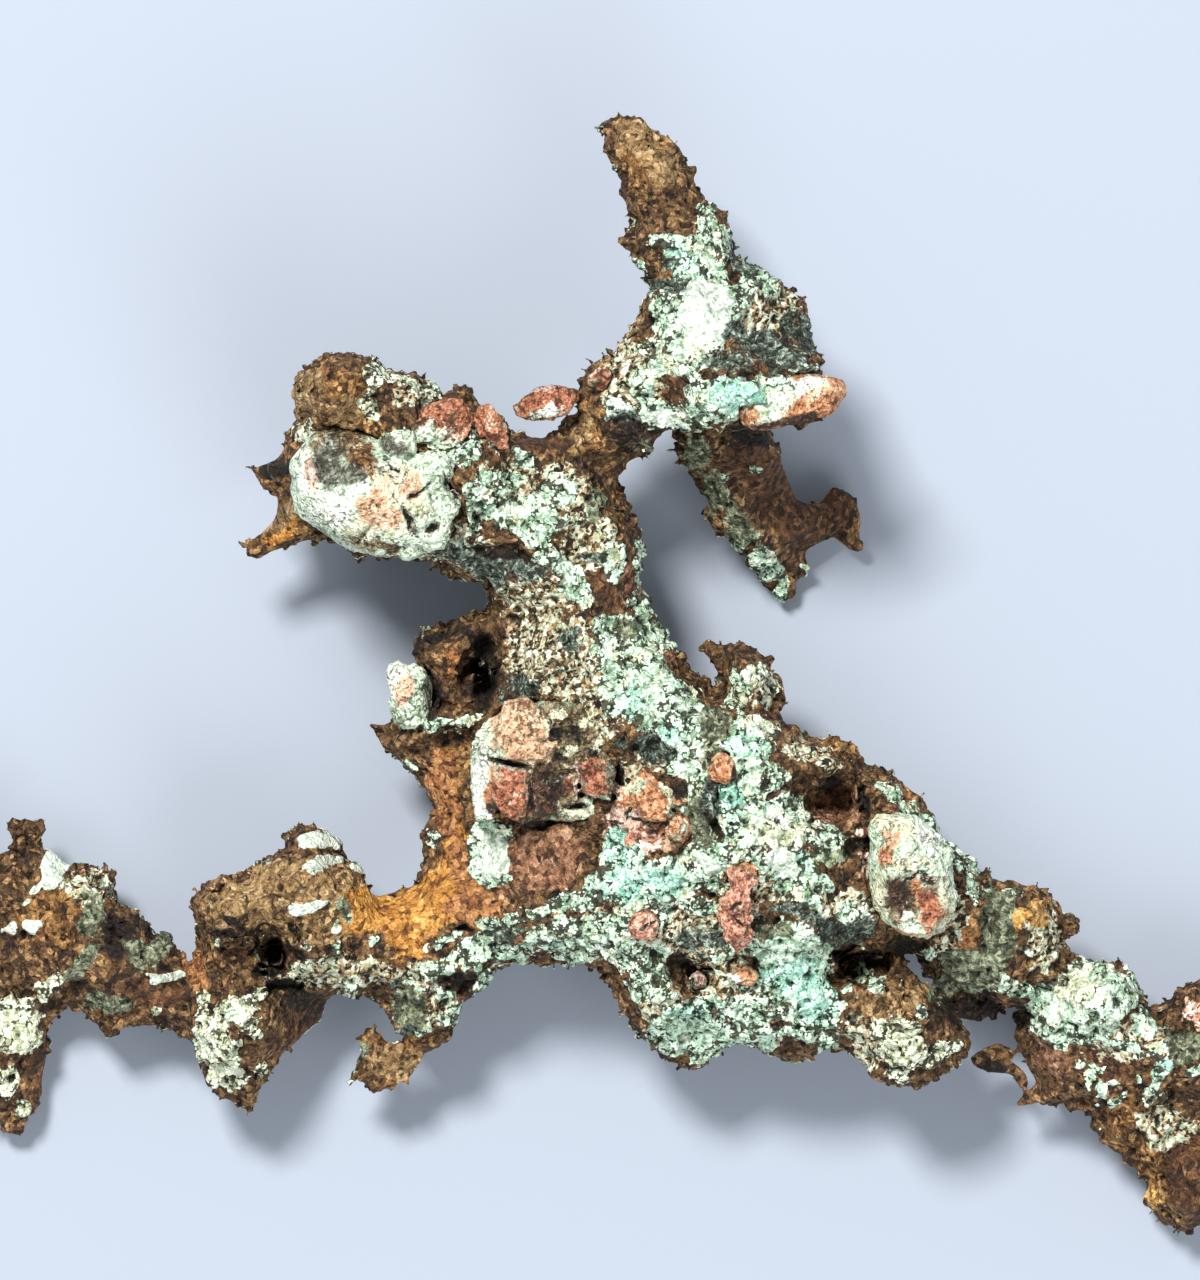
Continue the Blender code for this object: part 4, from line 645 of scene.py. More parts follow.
# Angular blocks of the broken rocks, going straight down from these top corners, in millimetres
BLOCKS = {
    "core_cobble": [
        [(-11.6, -2.4, 27.2), (-9.2, -1.9, 27.6), (-6.8, -4.4, 28.4), (-7.4, -8.2, 28.6), (-12, -8.2, 28.9),
         (-12.4, -5.6, 27.6)],
        [(-12.6, -8, 27.8), (-8.4, -8.2, 28.2), (-9.5, -14.7, 27), (-11.6, -13.8, 26.6), (-12.7, -12, 26.8)],
        [(-8.8, -8.4, 27.6), (-6, -9.6, 25.8), (-6.2, -13.4, 25), (-9.4, -14.5, 26.4)],
        [(-14.7, -8, 26), (-13.4, -6.6, 27), (-12.2, -7.6, 27.6), (-12.5, -14.2, 25.8), (-14.4, -14.4, 25),
         (-14.9, -11, 25.2)],
        [(-8.2, -2.2, 27), (-3.2, -2.6, 26.6), (-0.8, -5.6, 26.6), (-1.6, -8.6, 26.8), (-7.6, -9.6, 27.4)],
        [(-4.6, -8.2, 27.8), (-1, -7.9, 27.4), (-0.3, -9.4, 27.2), (-0.9, -12.4, 27), (-3.6, -11.6, 27.2)],
        [(-6.4, -9.6, 26), (-4.4, -9.4, 26.2), (-4.2, -12.2, 26), (-6.2, -12.6, 25.6)],
        [(-5.6, -12.2, 25), (-2.6, -12, 25.2), (-2.4, -14, 24.8), (-5, -14.4, 24.6)],
        [(-8, -12.4, 24.8), (-5, -12, 24.8), (-5.2, -14.3, 24.2), (-8.4, -14.4, 24.4)],
    ],
    "orange_crystals": [
        [(1.3, -11.2, 29.6), (3, -10.3, 30.4), (5.2, -12, 30.8), (4.6, -14.4, 30), (2.2, -14.2, 30.2)],
        [(0.8, -11.4, 28.6), (2.4, -10.2, 29.2), (2.6, -12.8, 29.4), (1.2, -13.4, 28.4)],
        [(4.3, -13.9, 28.8), (5.8, -13.5, 29), (6.7, -14.8, 28.6), (6, -16, 28.4), (4.6, -15.8, 28.6)],
    ],
    "red_rock_head": [
        [(-21, 24.8, 29.8), (-19.4, 27, 30.6), (-16.8, 27.4, 30.8), (-15.8, 26, 30.2), (-17.6, 23.6, 29.4),
         (-20, 22.9, 29.2)],
        [(-17.2, 27.8, 30), (-15.6, 27.6, 29.8), (-14.9, 25.4, 29.4), (-16.2, 24.6, 29.6)],
    ],
    "red_chip_head": [
        [(-14.4, 26.8, 28.4), (-13, 27.2, 28.6), (-11.2, 24.8, 28.2), (-11, 22.4, 27.6), (-12.8, 22.9, 28)],
    ],
}
# Rounded lumps added to rocks: x, y, top and radius
NODULES = {
    "head_cobble": [
        (-18.8, 14.6, 30.6, 2.3), (-21.2, 13.6, 29.6, 2), (-17.6, 17.2, 30.4, 2), (-20.6, 17, 32, 1.8),
        (-24, 13.8, 30.2, 1.8), (-18.6, 20.6, 31.4, 2.2), (-22, 23.2, 31, 2), (-31.4, 20.8, 29.8, 1.8),
        (-30.4, 18, 29.8, 1.8), (-27.6, 16.4, 30.8, 2),
    ],
    "core_cobble": [
        (-5.4, -11, 26.8, 0.9), (-5.8, -4, 28, 1.3), (-3.8, -4.6, 27.7, 1.1), (-2.2, -6, 27.6, 1.2),
        (-4.8, -6.6, 28.3, 1.1), (-6.6, -6.6, 28.7, 0.9), (-3.2, -7.4, 28, 0.8), (-6.9, -8.6, 27.9, 0.8),
    ],
    "orange_crystals": [
        (-0.2, -13, 28, 0.8), (0.4, -14.2, 28.2, 0.9), (1.6, -15.2, 28, 0.9), (2.9, -15.6, 28.2, 0.9),
        (0.9, -16.3, 27.4, 0.7), (3.6, -16.6, 27.4, 0.8), (-1, -13.9, 27.4, 0.6), (2.2, -16.8, 27.2, 0.6),
        (5.4, -14.8, 29.4, 1.2),
    ],
    "pink_crystals": [
        (12.7, -20.7, 29.6, 0.8), (12.2, -21.8, 30, 0.9), (12.9, -22.6, 29.8, 0.7), (11.7, -23, 30.5, 1.1),
        (12.8, -23.9, 29.6, 0.7), (10.4, -23, 29.6, 0.8), (11.9, -24.7, 30, 0.9), (10.6, -24.4, 29.2, 0.7),
        (11, -25.8, 29.4, 0.8), (12.2, -26.2, 29.2, 0.7), (9.9, -23.9, 28.8, 0.5), (11.6, -26.9, 28.6, 0.5),
    ],
    "pink_bead": [(2.4, -23.9, 27.8, 0.9), (3.1, -25.2, 27.4, 0.9), (1.9, -25, 27.2, 0.7)],
    "right_cobble": [
        (31.6, -18, 28, 1.7), (26.2, -15.2, 28.6, 1.7), (28.6, -15.4, 28.8, 1.9), (26.6, -21.6, 28.6, 1.6),
    ],
    "left_cobble": [(-22.3, 0.2, 19.4, 1.2), (-20.4, -3.9, 19, 1.3)],
    "orange_bead": [(10, -8.4, 28.9, 1), (10.8, -9.6, 28.8, 1), (9.5, -9.5, 28.4, 0.9)],
    "cream_bead": [(11.5, -30, 24.3, 0.8), (13, -29.8, 24.4, 0.8)],
}
ROCK_LAYOUT = {
    "mint": [
        (-19.6, 20.8, 3.4, 4.2, -40), (-18.6, 14.6, 2.4, 2.8), (-20.6, -4.4, 2.2, 0.9), (-22, 13.4, 3, 1),
        (29.4, -16.8, 3.4, 2.6, -40), (32.4, -19.6, 1, 3.2, 5), (14.6, 27.6, 2.6, 2.4),
        (-3.6, -13.4, 2.4, 1.2), (-16.8, 17.6, 1.4, 3),
    ],
    "earth": [
        (-5.2, -6.4, 5.6, 4.6), (-8.6, -11.8, 5.4, 4.2), (27.9, -21.9, 1.9, 2.4), (-5.2, -11.2, 1.6, 1.8),
        (-28.4, 23.4, 2.4, 1.8), (-9.6, 25.4, 2.4, 0.6, 10), (-22.6, 12.6, 1, 0.6),
        (-24.8, 13.4, 2.8, 0.9, -15), (-3.2, 29, 1.6, 0.6, 25),
    ],
    "rust": [(-27.2, 24.6, 2.2, 2), (-25.8, 22, 1.5, 2.6, 25), (-24.6, 20.2, 0.9, 1.2, 30)],
    "cream": [
        (25.7, -21.6, 0.8, 2.8), (32.5, -21.8, 0.6, 3), (28.6, -25.6, 2.8, 0.8, -10),
        (28.8, -18.6, 2.8, 0.6), (27.4, -14.8, 2.6, 1.2, -10), (-24.6, 15.4, 4, 1.6), (-22.4, 18, 2.8, 2.8),
        (-21.6, 20, 1.6, 1.4), (-20, 16.6, 1.4, 1), (1.5, -10.9, 1.2, 0.8, 35),
        (4.6, -11.2, 1.2, 0.45, -45), (5.1, -12.8, 0.45, 1.2, 10), (5, -16.1, 1.2, 0.35, 10),
        (6.6, -14.6, 0.3, 1), (-6, -3.6, 0.8, 0.6), (-3.4, -4.8, 0.7, 0.6), (-2, -6.6, 0.5, 0.8),
        (-5, -7.4, 0.8, 0.5, 20), (-7.2, -5, 0.5, 0.8), (-4.4, -13.6, 1.6, 0.3, 8), (-6, -12.8, 0.35, 0.8),
    ],
    "white": [
        (-29.2, 16.4, 2.4, 1.6, -25), (-28.6, 17.4, 2.2, 1.3, -15), (-31.6, 20.6, 0.5, 3, 5),
        (-22.8, -0.6, 0.6, 2.2, -20), (-21.4, 1, 1.2, 0.5, 30), (-13.6, -10.6, 1.2, 4.6, 3),
        (31, -15.6, 1.4, 1.6, 40), (17.6, 28.6, 3, 1, 10), (-7.3, 26.4, 1.4, 0.6, 10),
        (30.4, -13.6, 1.6, 0.9, -35), (-25.8, 17.4, 1.6, 1.6), (28.4, -23.5, 0.4, 0.5), (11, -30.2, 1, 1),
        (12.2, -22.4, 0.5, 0.35), (11.2, -24.6, 0.5, 0.35, 20), (12.8, -24, 0.35, 0.5),
        (10.6, -23.2, 0.35, 0.35), (12.6, -20.4, 0.5, 0.35), (11.4, -26, 0.4, 0.3), (0, -13.4, 0.6, 0.35),
        (1.2, -14.9, 0.5, 0.35), (2.5, -15.5, 0.5, 0.3), (0.6, -16, 0.5, 0.35), (4.1, -16.4, 0.6, 0.35, 20),
        (2.2, -24.2, 0.4, 0.3),
    ],
    "pink": [
        (-30.6, 20.6, 0.8, 2.2, 5), (-21.5, -1.6, 0.9, 1.8, -30), (0.6, -14.6, 2, 1.6),
        (2.6, -16.4, 2, 0.9), (-3.2, 30.6, 1.4, 0.4, 25), (-8, 29.2, 2.4, 0.6, 10), (-4.2, -9.8, 0.5, 1.4),
        (-8.4, -7.2, 1.5, 0.9), (8, -30.2, 1.1, 1.1),
    ],
    # Grey rock, and painted shade on the left cobble's shaded right side
    "grey": [
        (-28.9, 21.4, 1.4, 2.8), (-26.9, 20, 1.6, 1.2), (-18.9, -2, 0.8, 2.2), (-0.9, -10, 0.5, 1.8),
        (-22.6, 23, 1.6, 0.7, -30),
    ],
    "tan": [
        (-10, -5.4, 2.7, 2.6), (-8.2, -7.4, 1.9, 1.2), (-10.2, -2.8, 2, 1.1, 20), (-24.6, 16.4, 2, 1.6),
        (26.6, -16, 1.3, 0.7, -10), (-6.6, -6.6, 0.9, 0.7), (28, -25.6, 2.2, 0.7, -15),
        (-12.2, -4.6, 0.5, 1.8),
    ],
    "orange": [
        (26.4, -17.6, 0.8, 1.2), (21.3, 27.7, 1.2, 1.2), (12.9, 26, 0.9, 0.5), (-12.7, -11.4, 0.4, 3.4),
        (3, -13.1, 1.1, 1.1), (5.5, -14.8, 0.9, 0.9), (29.6, -21.6, 0.5, 2.6, 5), (13, -29.8, 1.1, 1),
    ],
    "peach": [
        (-23.7, 17.6, 1.1, 2.3, -10), (-20.8, 18.9, 0.9, 1.4, 15), (-22.6, 15.9, 0.8, 0.9),
        (-21.7, -1.4, 0.9, 1.4, -30), (19.6, 28.2, 1.6, 0.8, 10),
    ],
    "red": [
        (-10.9, -11.4, 2, 3.4, -6), (-2.4, -10, 1.6, 2, 10), (30.9, -22.8, 1.2, 2.6, 5),
        (-5.3, -10.9, 0.7, 0.9),
    ],
    "rose": [
        (12.4, -20.8, 1.9, 1.8), (11.6, -23.6, 2.2, 1.8), (11.4, -25.8, 1.6, 1.8), (2.6, -24.6, 1.6, 1.8),
        (1.4, -15.8, 1.8, 1.2), (3.2, -16.4, 1.4, 0.8),
    ],
    # Dark brown painted as shade: on shadowed facets, in narrow recesses and under the ledge slab
    "shaded_umber": [
        (-7.4, -11.8, 1.8, 2.9, -10), (-12.6, -13.2, 0.5, 1.2), (30.8, -19.9, 1, 0.5),
        (27.4, -21.6, 1.2, 1.6), (-0.4, -10.6, 0.3, 2.2), (16.6, 25.2, 4, 0.5, 10),
    ],
    "shadow": [
        (-11, -8.5, 2.2, 0.26, -12), (-7.2, -10.4, 0.7, 0.4, -30), (-14.2, 16.4, 0.5, 3, -8),
        (29.2, -19.8, 1.4, 0.2, 20), (-20.2, 18.2, 1, 0.2, 30), (-16.2, 18.4, 0.3, 2.4, 35),
        (-18.6, 14.9, 0.9, 0.35, 35), (-21, 15.4, 0.3, 1.6, 30), (11.2, -9.8, 0.3, 1),
        (-22.6, 20.8, 0.8, 0.2, -40), (4.2, -14.6, 1, 0.25, 45), (-17.4, -1, 0.3, 0.8),
        (11.6, -22.5, 1, 0.22, 20), (11.7, -24.1, 0.9, 0.22, -30), (13.2, -21.8, 0.25, 0.7),
        (1.9, -14.3, 1.2, 0.25, -10), (0.7, -13.7, 0.25, 0.8), (3.4, -15.4, 0.9, 0.22, 10),
        (-0.2, -14.5, 0.7, 0.22), (2.7, -24.6, 0.9, 0.2, 30), (-6.5, -10.8, 0.35, 1.6, -25),
        (-6.4, -5.6, 0.7, 0.4, 30), (-4.6, -5.6, 0.4, 0.8, 20), (-2.8, -7.2, 0.8, 0.35, -20),
        (-5.8, -8.2, 0.8, 0.3), (-1.4, -4.8, 0.6, 0.4), (-4.4, -13, 1, 0.3, 6), (5.9, -11.4, 0.7, 0.9),
        (3, -14.6, 1.2, 0.25, 10),
    ],
}
# Sunk places of the rocks: x, y, half length, half width, turn, depth
ROCK_HOLLOWS = [
    (29, -22.2, 2.6, 3, 0, 0.8), (-28.8, 21.8, 1.6, 2.8, 0, 0.9), (-16.4, 18, 0.5, 2.4, 35, 1.2),
    (-18.6, 14.9, 1, 0.5, 35, 0.7), (-20.8, 15.6, 0.4, 1.8, 30, 0.9), (-18.9, -2, 0.9, 2.2, 0, 0.6),
    (-11, -8.5, 2.3, 0.34, -12, 1.2), (-20.2, 18.2, 1.2, 0.4, 30, 0.6), (-26.2, 20.6, 0.9, 0.7, 0, 0.4),
    (-4.2, -12.9, 1.2, 0.4, 6, 0.7), (-23.6, 20.4, 1.8, 0.3, -30, 0.6), (-25.4, 14.2, 0.3, 1.6, -40, 0.6),
    (29.6, -16.8, 0.25, 2.4, -40, 0.4), (-8.9, -11.6, 0.25, 2.8, 8, 0.5),
]


def add_block(shape, corners, base):
    """A block with these top corners, and as wide below, down to the base."""
    single = bmesh.new()
    for x, y, top in corners:
        single.verts.new((x, y, top))
        single.verts.new((x, y, base))
    bmesh.ops.convex_hull(single, input=single.verts)
    bmesh.ops.recalc_face_normals(single, faces=single.faces)
    mesh = bpy.data.meshes.new("block")
    single.to_mesh(mesh)
    single.free()
    shape.from_mesh(mesh)
    bpy.data.meshes.remove(mesh)


def rock_body(node):
    """A rock's rough body: its node's shape or, if it is broken, its blocks on that shape's lower part."""
    shape = bmesh.new()
    own = merged([node], 0.15 if node in BLOCKS else 0.05)
    shape.from_mesh(own)
    bpy.data.meshes.remove(own)
    base, top = (corner[2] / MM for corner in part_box(node))
    if node in BLOCKS:
        for vertex in shape.verts:
            vertex.co.z = min(vertex.co.z, base + COLLARS[node] * (top - base))
    for corners in BLOCKS.get(node, []):
        add_block(shape, corners, base + 0.3)
    for x, y, top, radius in NODULES.get(node, []):
        place = Matrix.Translation((x, y, top - radius))
        bmesh.ops.create_icosphere(shape, subdivisions=2, radius=radius, matrix=place)
    mesh = bpy.data.meshes.new("body")
    shape.to_mesh(mesh)
    shape.free()
    return mesh


def make_rock(node, material):
    """A rock around its node: worn and crusted if it is a cobble, sharper if it is broken."""
    broken = node in BLOCKS
    points, edges, quads = taken_apart(remeshed(rock_body(node), ROCK_VOXEL))
    points = relaxed(points, edges, 1 if broken else 3)
    normals = normals_at(points, quads)
    fine = grains(points, 0.6, 70)
    drift = np.stack([waves(points, 1.6, 80 + k) for k in range(3)], axis=1) * 0.35
    drift += np.stack([waves(points, 0.7, 85 + k) for k in range(3)], axis=1) * 0.25
    fields = {name: spots(points + drift, places) for name, places in ROCK_LAYOUT.items()}
    crumbly = np.maximum(step_up(fields["mint"], 0.3, 0.6), step_up(layered(points, 3.0, 2, 75), -0.1, 0.4))
    stand_out = (0.14 if broken else 0.4) * layered(points, 2.4, 3, 71) - 0.05
    stand_out += (0.12 + 0.3 * crumbly) * (0.5 - fine)
    stand_out -= 0.35 * crumbly * step_up(layered(points, 1.0, 2, 73), 0.2, 0.5)
    points = points + normals * stand_out[:, None]
    points[:, 2] -= carved(points, ROCK_HOLLOWS) * step_up(normals[:, 2], 0.0, 0.4)
    mesh = mesh_from("rock_" + node, points, quads.tolist())
    for name, values in fields.items():
        store(mesh, name, values + 0.2 * layered(points, 1.2, 3, 72))
    # How hollow each point lies: darker there as painted shade, paler on the ridges as worn edges
    store(mesh, "cavity", hollows(points, edges, quads, 6))
    add_piece(mesh.name, mesh, node, material)


# Materials -------------------------------------------------------------------------------------------

def linear(red, green, blue):
    """A screen colour from 0 to 255 as the linear values that a shader takes."""
    def one(value):
        value /= 255
        return value / 12.92 if value <= 0.04045 else ((value + 0.055) / 1.055) ** 2.4
    return (one(red), one(green), one(blue), 1.0)


class Shading:
    """A material's nodes, with one short call for each kind."""

    def __init__(self, name):
        self.material = bpy.data.materials.new(name)
        self.material.use_nodes = True
        self.nodes = self.material.node_tree.nodes
        self.links = self.material.node_tree.links
        self.shader = self.nodes["Principled BSDF"]
        where = self.add("TexCoord", "Object", {})
        self.place = self.add("VectorMath", 0, {0: where, "Scale": 1 / MM}, operation="SCALE")

    def set(self, socket, value):
        if hasattr(value, "is_linked"):
            self.links.new(value, socket)
        else:
            socket.default_value = value

    def add(self, kind, output, inputs, **settings):
        """An output of a new node with these inputs and settings."""
        node = self.nodes.new("ShaderNode" + kind)
        for name, value in settings.items():
            setattr(node, name, value)
        for socket, value in inputs.items():
            self.set(node.inputs[socket], value)
        return node.outputs[output]

    def noise(self, length, detail, seed):
        inputs = {"Vector": self.place, "W": seed, "Scale": 1 / length, "Detail": detail}
        return self.add("TexNoise", "Fac", inputs, noise_dimensions="4D")

    def cells(self, size):
        """Distance from the middle of each small cell, and that cell's own value."""
        distance = self.add("TexVoronoi", "Distance", {"Vector": self.place, "Scale": 1 / size})
        return distance, distance.node.outputs["Color"]

    def field(self, name):
        return self.add("Attribute", "Fac", {}, attribute_name=name)

    def sum(self, *terms):
        """The sum of some (value, factor) pairs."""
        total = 0.0
        for value, factor in terms:
            total = self.add("Math", 0, {0: value, 1: factor, 2: total}, operation="MULTIPLY_ADD")
        return total

    def product(self, first, second):
        return self.add("Math", 0, {0: first, 1: second}, operation="MULTIPLY")

    def between(self, value, low, high, out_low=0.0, out_high=1.0):
        inputs = {"Value": value, "From Min": low, "From Max": high, "To Min": out_low, "To Max": out_high}
        return self.add("MapRange", "Result", inputs, interpolation_type="SMOOTHSTEP")

    def ramp(self, value, stops):
        colour = self.add("ValToRGB", "Color", {"Fac": value})
        elements = colour.node.color_ramp.elements
        while len(elements) < len(stops):
            elements.new(0.5)
        for element, (position, tone) in zip(elements, stops):
            element.position = position
            element.color = linear(*tone)
        return colour

    def mix(self, share, below, above, blend="MIX"):
        inputs = {0: share, 6: below, 7: above}
        return self.add("Mix", 2, inputs, data_type="RGBA", blend_type=blend)

    def bump(self, height, distance):
        inputs = {"Height": height, "Distance": distance * MM, "Strength": 1.0}
        self.set(self.shader.inputs["Normal"], self.add("Bump", "Normal", inputs))

    def finish(self, colour, roughness, specular):
        self.set(self.shader.inputs["Base Color"], colour)
        self.set(self.shader.inputs["Roughness"], roughness)
        self.shader.inputs["Specular IOR Level"].default_value = specular
        return self.material


# Each tone goes from its dark pits to its bright grains, as screen colours
TONES = {
    "brown": [(24, 15, 8), (72, 50, 29), (114, 84, 51), (198, 158, 108)],
    "gilt": [(36, 22, 10), (96, 65, 33), (146, 106, 58), (220, 178, 118)],
    "sand": [(62, 44, 26), (126, 98, 62), (164, 132, 88), (224, 198, 154)],
    "ochre": [(96, 58, 22), (164, 110, 46), (202, 144, 68), (238, 196, 122)],
    "gold": [(110, 70, 28), (188, 138, 68), (222, 176, 104), (250, 228, 176)],
    "ember": [(70, 40, 20), (140, 92, 52), (182, 128, 78), (226, 182, 132)],
    "red": [(46, 28, 18), (106, 72, 48), (152, 110, 80), (216, 178, 144)],
    "tan": [(58, 44, 32), (142, 114, 86), (198, 164, 130), (240, 222, 196)],
    "blush": [(104, 62, 44), (188, 132, 106), (226, 188, 166), (248, 236, 224)],
    "bare": [(32, 19, 10), (68, 43, 24), (98, 66, 40), (150, 110, 72)],
    "mint": [(122, 150, 122), (196, 226, 198), (222, 243, 219), (250, 254, 246)],
    "aqua": [(120, 174, 150), (180, 230, 206), (210, 246, 228), (246, 254, 248)],
    "cream": [(150, 156, 120), (220, 228, 194), (240, 243, 218), (253, 252, 240)],
    "plate": [(156, 170, 152), (204, 217, 200), (223, 233, 218), (245, 249, 240)],
    "verdigris": [(48, 50, 36), (100, 106, 82), (146, 154, 124), (204, 210, 182)],
    # the crust in painted shade
    "dark": [(20, 24, 18), (60, 68, 58), (108, 120, 106), (190, 206, 190)],
    # painted shadow for the hollows, crevices and overhangs
    "painted_shadow": [(6, 4, 2), (22, 14, 8), (44, 31, 20), (90, 68, 46)],
}
# Where a ramp's four tones stand, for bare copper, for crust and for rock
TONE_PLACES = (0.38, 0.47, 0.57, 0.7)
SHELL_PLACES = (0.4, 0.49, 0.56, 0.66)
ROCK_PLACES = (0.4, 0.48, 0.56, 0.7)
# Single colours: the gaps between flakes and crumbs, dust, worn edges and the floor
FLAKE_GAP = (30, 19, 11)
CRUMB_GAP = (20, 26, 18)
CRUMB_GAP_PALE = (70, 60, 38)
ROCK_GAP = (44, 38, 26)
DUST = (226, 228, 206)
WORN_EDGE = (236, 226, 204)
FLOOR_COLOUR = (162, 170, 183)
# Crust and copper mixed grain by grain: a place on the ramp and its colour
MIXTURE = [
    (0.32, (30, 28, 20)), (0.4, (88, 70, 46)), (0.47, (152, 124, 88)), (0.54, (192, 172, 136)),
    (0.6, (176, 198, 168)), (0.7, (230, 236, 214)),
]


def copper_material():
    s = Shading("weathered_copper")
    speck = s.noise(0.24, 1.0, 3.0)
    grain = s.noise(0.6, 2.0, 1.0)
    blotch = s.noise(2.6, 3.0, 2.0)
    flake_edge, flake = s.cells(0.55)
    crumb_edge, crumb = s.cells(0.38)
    lump_edge, lump = s.cells(0.9)
    tone = s.sum((flake, 0.3), (speck, 0.3), (grain, 0.2), (blotch, 0.2))

    def toned(name, value=tone, places=TONE_PLACES):
        return s.ramp(value, list(zip(places, TONES[name])))

    def laid(colour, name, above, low=0.4, high=0.5, breakup=0.5):
        edge = s.sum((s.field(name), 1.0), (grain, breakup), (speck, breakup / 2))
        return s.mix(s.between(edge, low + 0.75 * breakup, high + 0.75 * breakup), colour, above)

    copper = toned("brown")
    for name in ("gilt", "sand", "ochre", "ember", "red", "tan", "bare"):
        copper = laid(copper, name, toned(name), 0.3, 0.64)
    grained = s.sum((flake, 0.5), (crumb, 0.5))
    copper = laid(copper, "blush", toned("blush", grained, (0.36, 0.46, 0.55, 0.64)), 0.34, 0.5)
    flake_gap = s.between(s.sum((flake_edge, 0.5), (speck, 0.6), (blotch, 0.4)), 0.88, 1.02, 0.0, 0.6)
    copper = s.mix(flake_gap, copper, linear(*FLAKE_GAP))

    shell = s.sum((crumb, 0.2), (lump, 0.15), (speck, 0.35), (blotch, 0.3))
    creamy = s.between(s.sum((s.noise(1.6, 2.0, 9.0), 1.0), (s.field("warm"), 0.3)), 0.55, 0.68)
    crust = s.mix(creamy, toned("mint", shell, SHELL_PLACES), toned("cream", shell, SHELL_PLACES))
    crust = laid(crust, "turquoise", toned("aqua", shell, SHELL_PLACES), 0.3, 0.9)
    patchy = s.noise(1.7, 2.0, 5.0)
    gaps = s.sum((crumb_edge, 0.5), (lump_edge, 0.6), (speck, 0.6), (patchy, 0.8), (s.field("chalk"), -0.2))
    crumb_gap = s.between(gaps, 1.31, 1.39, 0.0, 0.96)
    gap_tone = s.mix(s.between(grain, 0.45, 0.58), linear(*CRUMB_GAP), linear(*CRUMB_GAP_PALE))
    crust = s.mix(crumb_gap, crust, gap_tone)

    colour = laid(copper, "mixed", s.ramp(grained, MIXTURE), 0.42, 0.5, 0.7)
    colour = laid(colour, "crust", crust, 0.38, 0.44, 0.6)
    opened = s.between(s.sum((s.field("hole"), 1.0), (speck, 0.9), (blotch, 0.5)), 1.1, 1.25)
    crusted = s.between(s.sum((s.field("crust"), 1.0), (s.field("mixed"), 0.5)), 0.3, 0.6, 0.1, 0.9)
    colour = s.mix(s.product(opened, crusted), colour, gap_tone)
    stained = s.mix(s.product(crumb_gap, 0.7), toned("verdigris"), gap_tone)
    colour = laid(colour, "verdigris", stained, 0.42, 0.56)
    colour = laid(colour, "gold", toned("gold"), 0.36, 0.5)
    # Painted shade: the crust darkened under the ledges and overhangs and in recesses
    colour = laid(colour, "dark", toned("dark", shell, SHELL_PLACES), 0.46, 0.66, 1.2)
    colour = laid(colour, "plate", toned("plate"), 0.44, 0.5, 0.15)
    # Painted shadow: near-black in the hollows, crevices and under overhangs
    colour = laid(colour, "painted_shadow", toned("painted_shadow"), 0.42, 0.66, 1.3)
    # Painted shade: darker in small hollows, and more broadly in deep recesses
    colour = s.mix(1.0, colour, s.between(s.field("cavity"), 0.02, 0.3, 1.0, 0.2), "MULTIPLY")
    colour = s.mix(1.0, colour, s.between(s.field("deep"), 0.1, 1.1, 1.0, 0.4), "MULTIPLY")
    s.bump(s.sum((speck, 0.8), (grain, 0.8), (flake_edge, -0.3), (crumb_edge, -0.5)), 0.32)
    return s.finish(colour, 0.75, 0.35)


ROCK_TONES = {
    "mint": [(122, 140, 110), (198, 220, 192), (226, 240, 218), (250, 252, 242)],
    "rust": [(44, 27, 14), (104, 72, 40), (146, 106, 62), (200, 160, 110)],
    "earth": [(30, 24, 15), (86, 71, 48), (142, 124, 90), (214, 200, 166)],
    "cream": [(148, 146, 112), (212, 214, 180), (234, 236, 208), (252, 250, 238)],
    "white": [(170, 182, 158), (226, 233, 216), (242, 246, 236), (253, 253, 250)],
    "pink": [(130, 92, 76), (204, 170, 152), (230, 206, 190), (248, 238, 228)],
    "grey": [(46, 46, 38), (90, 90, 78), (134, 136, 122), (190, 194, 178)],
    "tan": [(112, 80, 54), (190, 150, 116), (218, 184, 150), (246, 228, 204)],
    "orange": [(104, 62, 36), (180, 122, 82), (212, 160, 120), (242, 214, 186)],
    "peach": [(150, 106, 76), (222, 176, 140), (236, 204, 174), (250, 236, 218)],
    "red": [(70, 36, 22), (146, 87, 60), (188, 125, 92), (234, 190, 160)],
    "rose": [(96, 54, 38), (186, 124, 99), (224, 173, 148), (252, 234, 218)],
    # dark brown for painted shade
    "shaded_umber": [(20, 12, 8), (58, 38, 26), (90, 62, 44), (140, 108, 82)],
    "shadow": [(6, 4, 2), (20, 13, 8), (42, 30, 20), (80, 62, 46)],
}


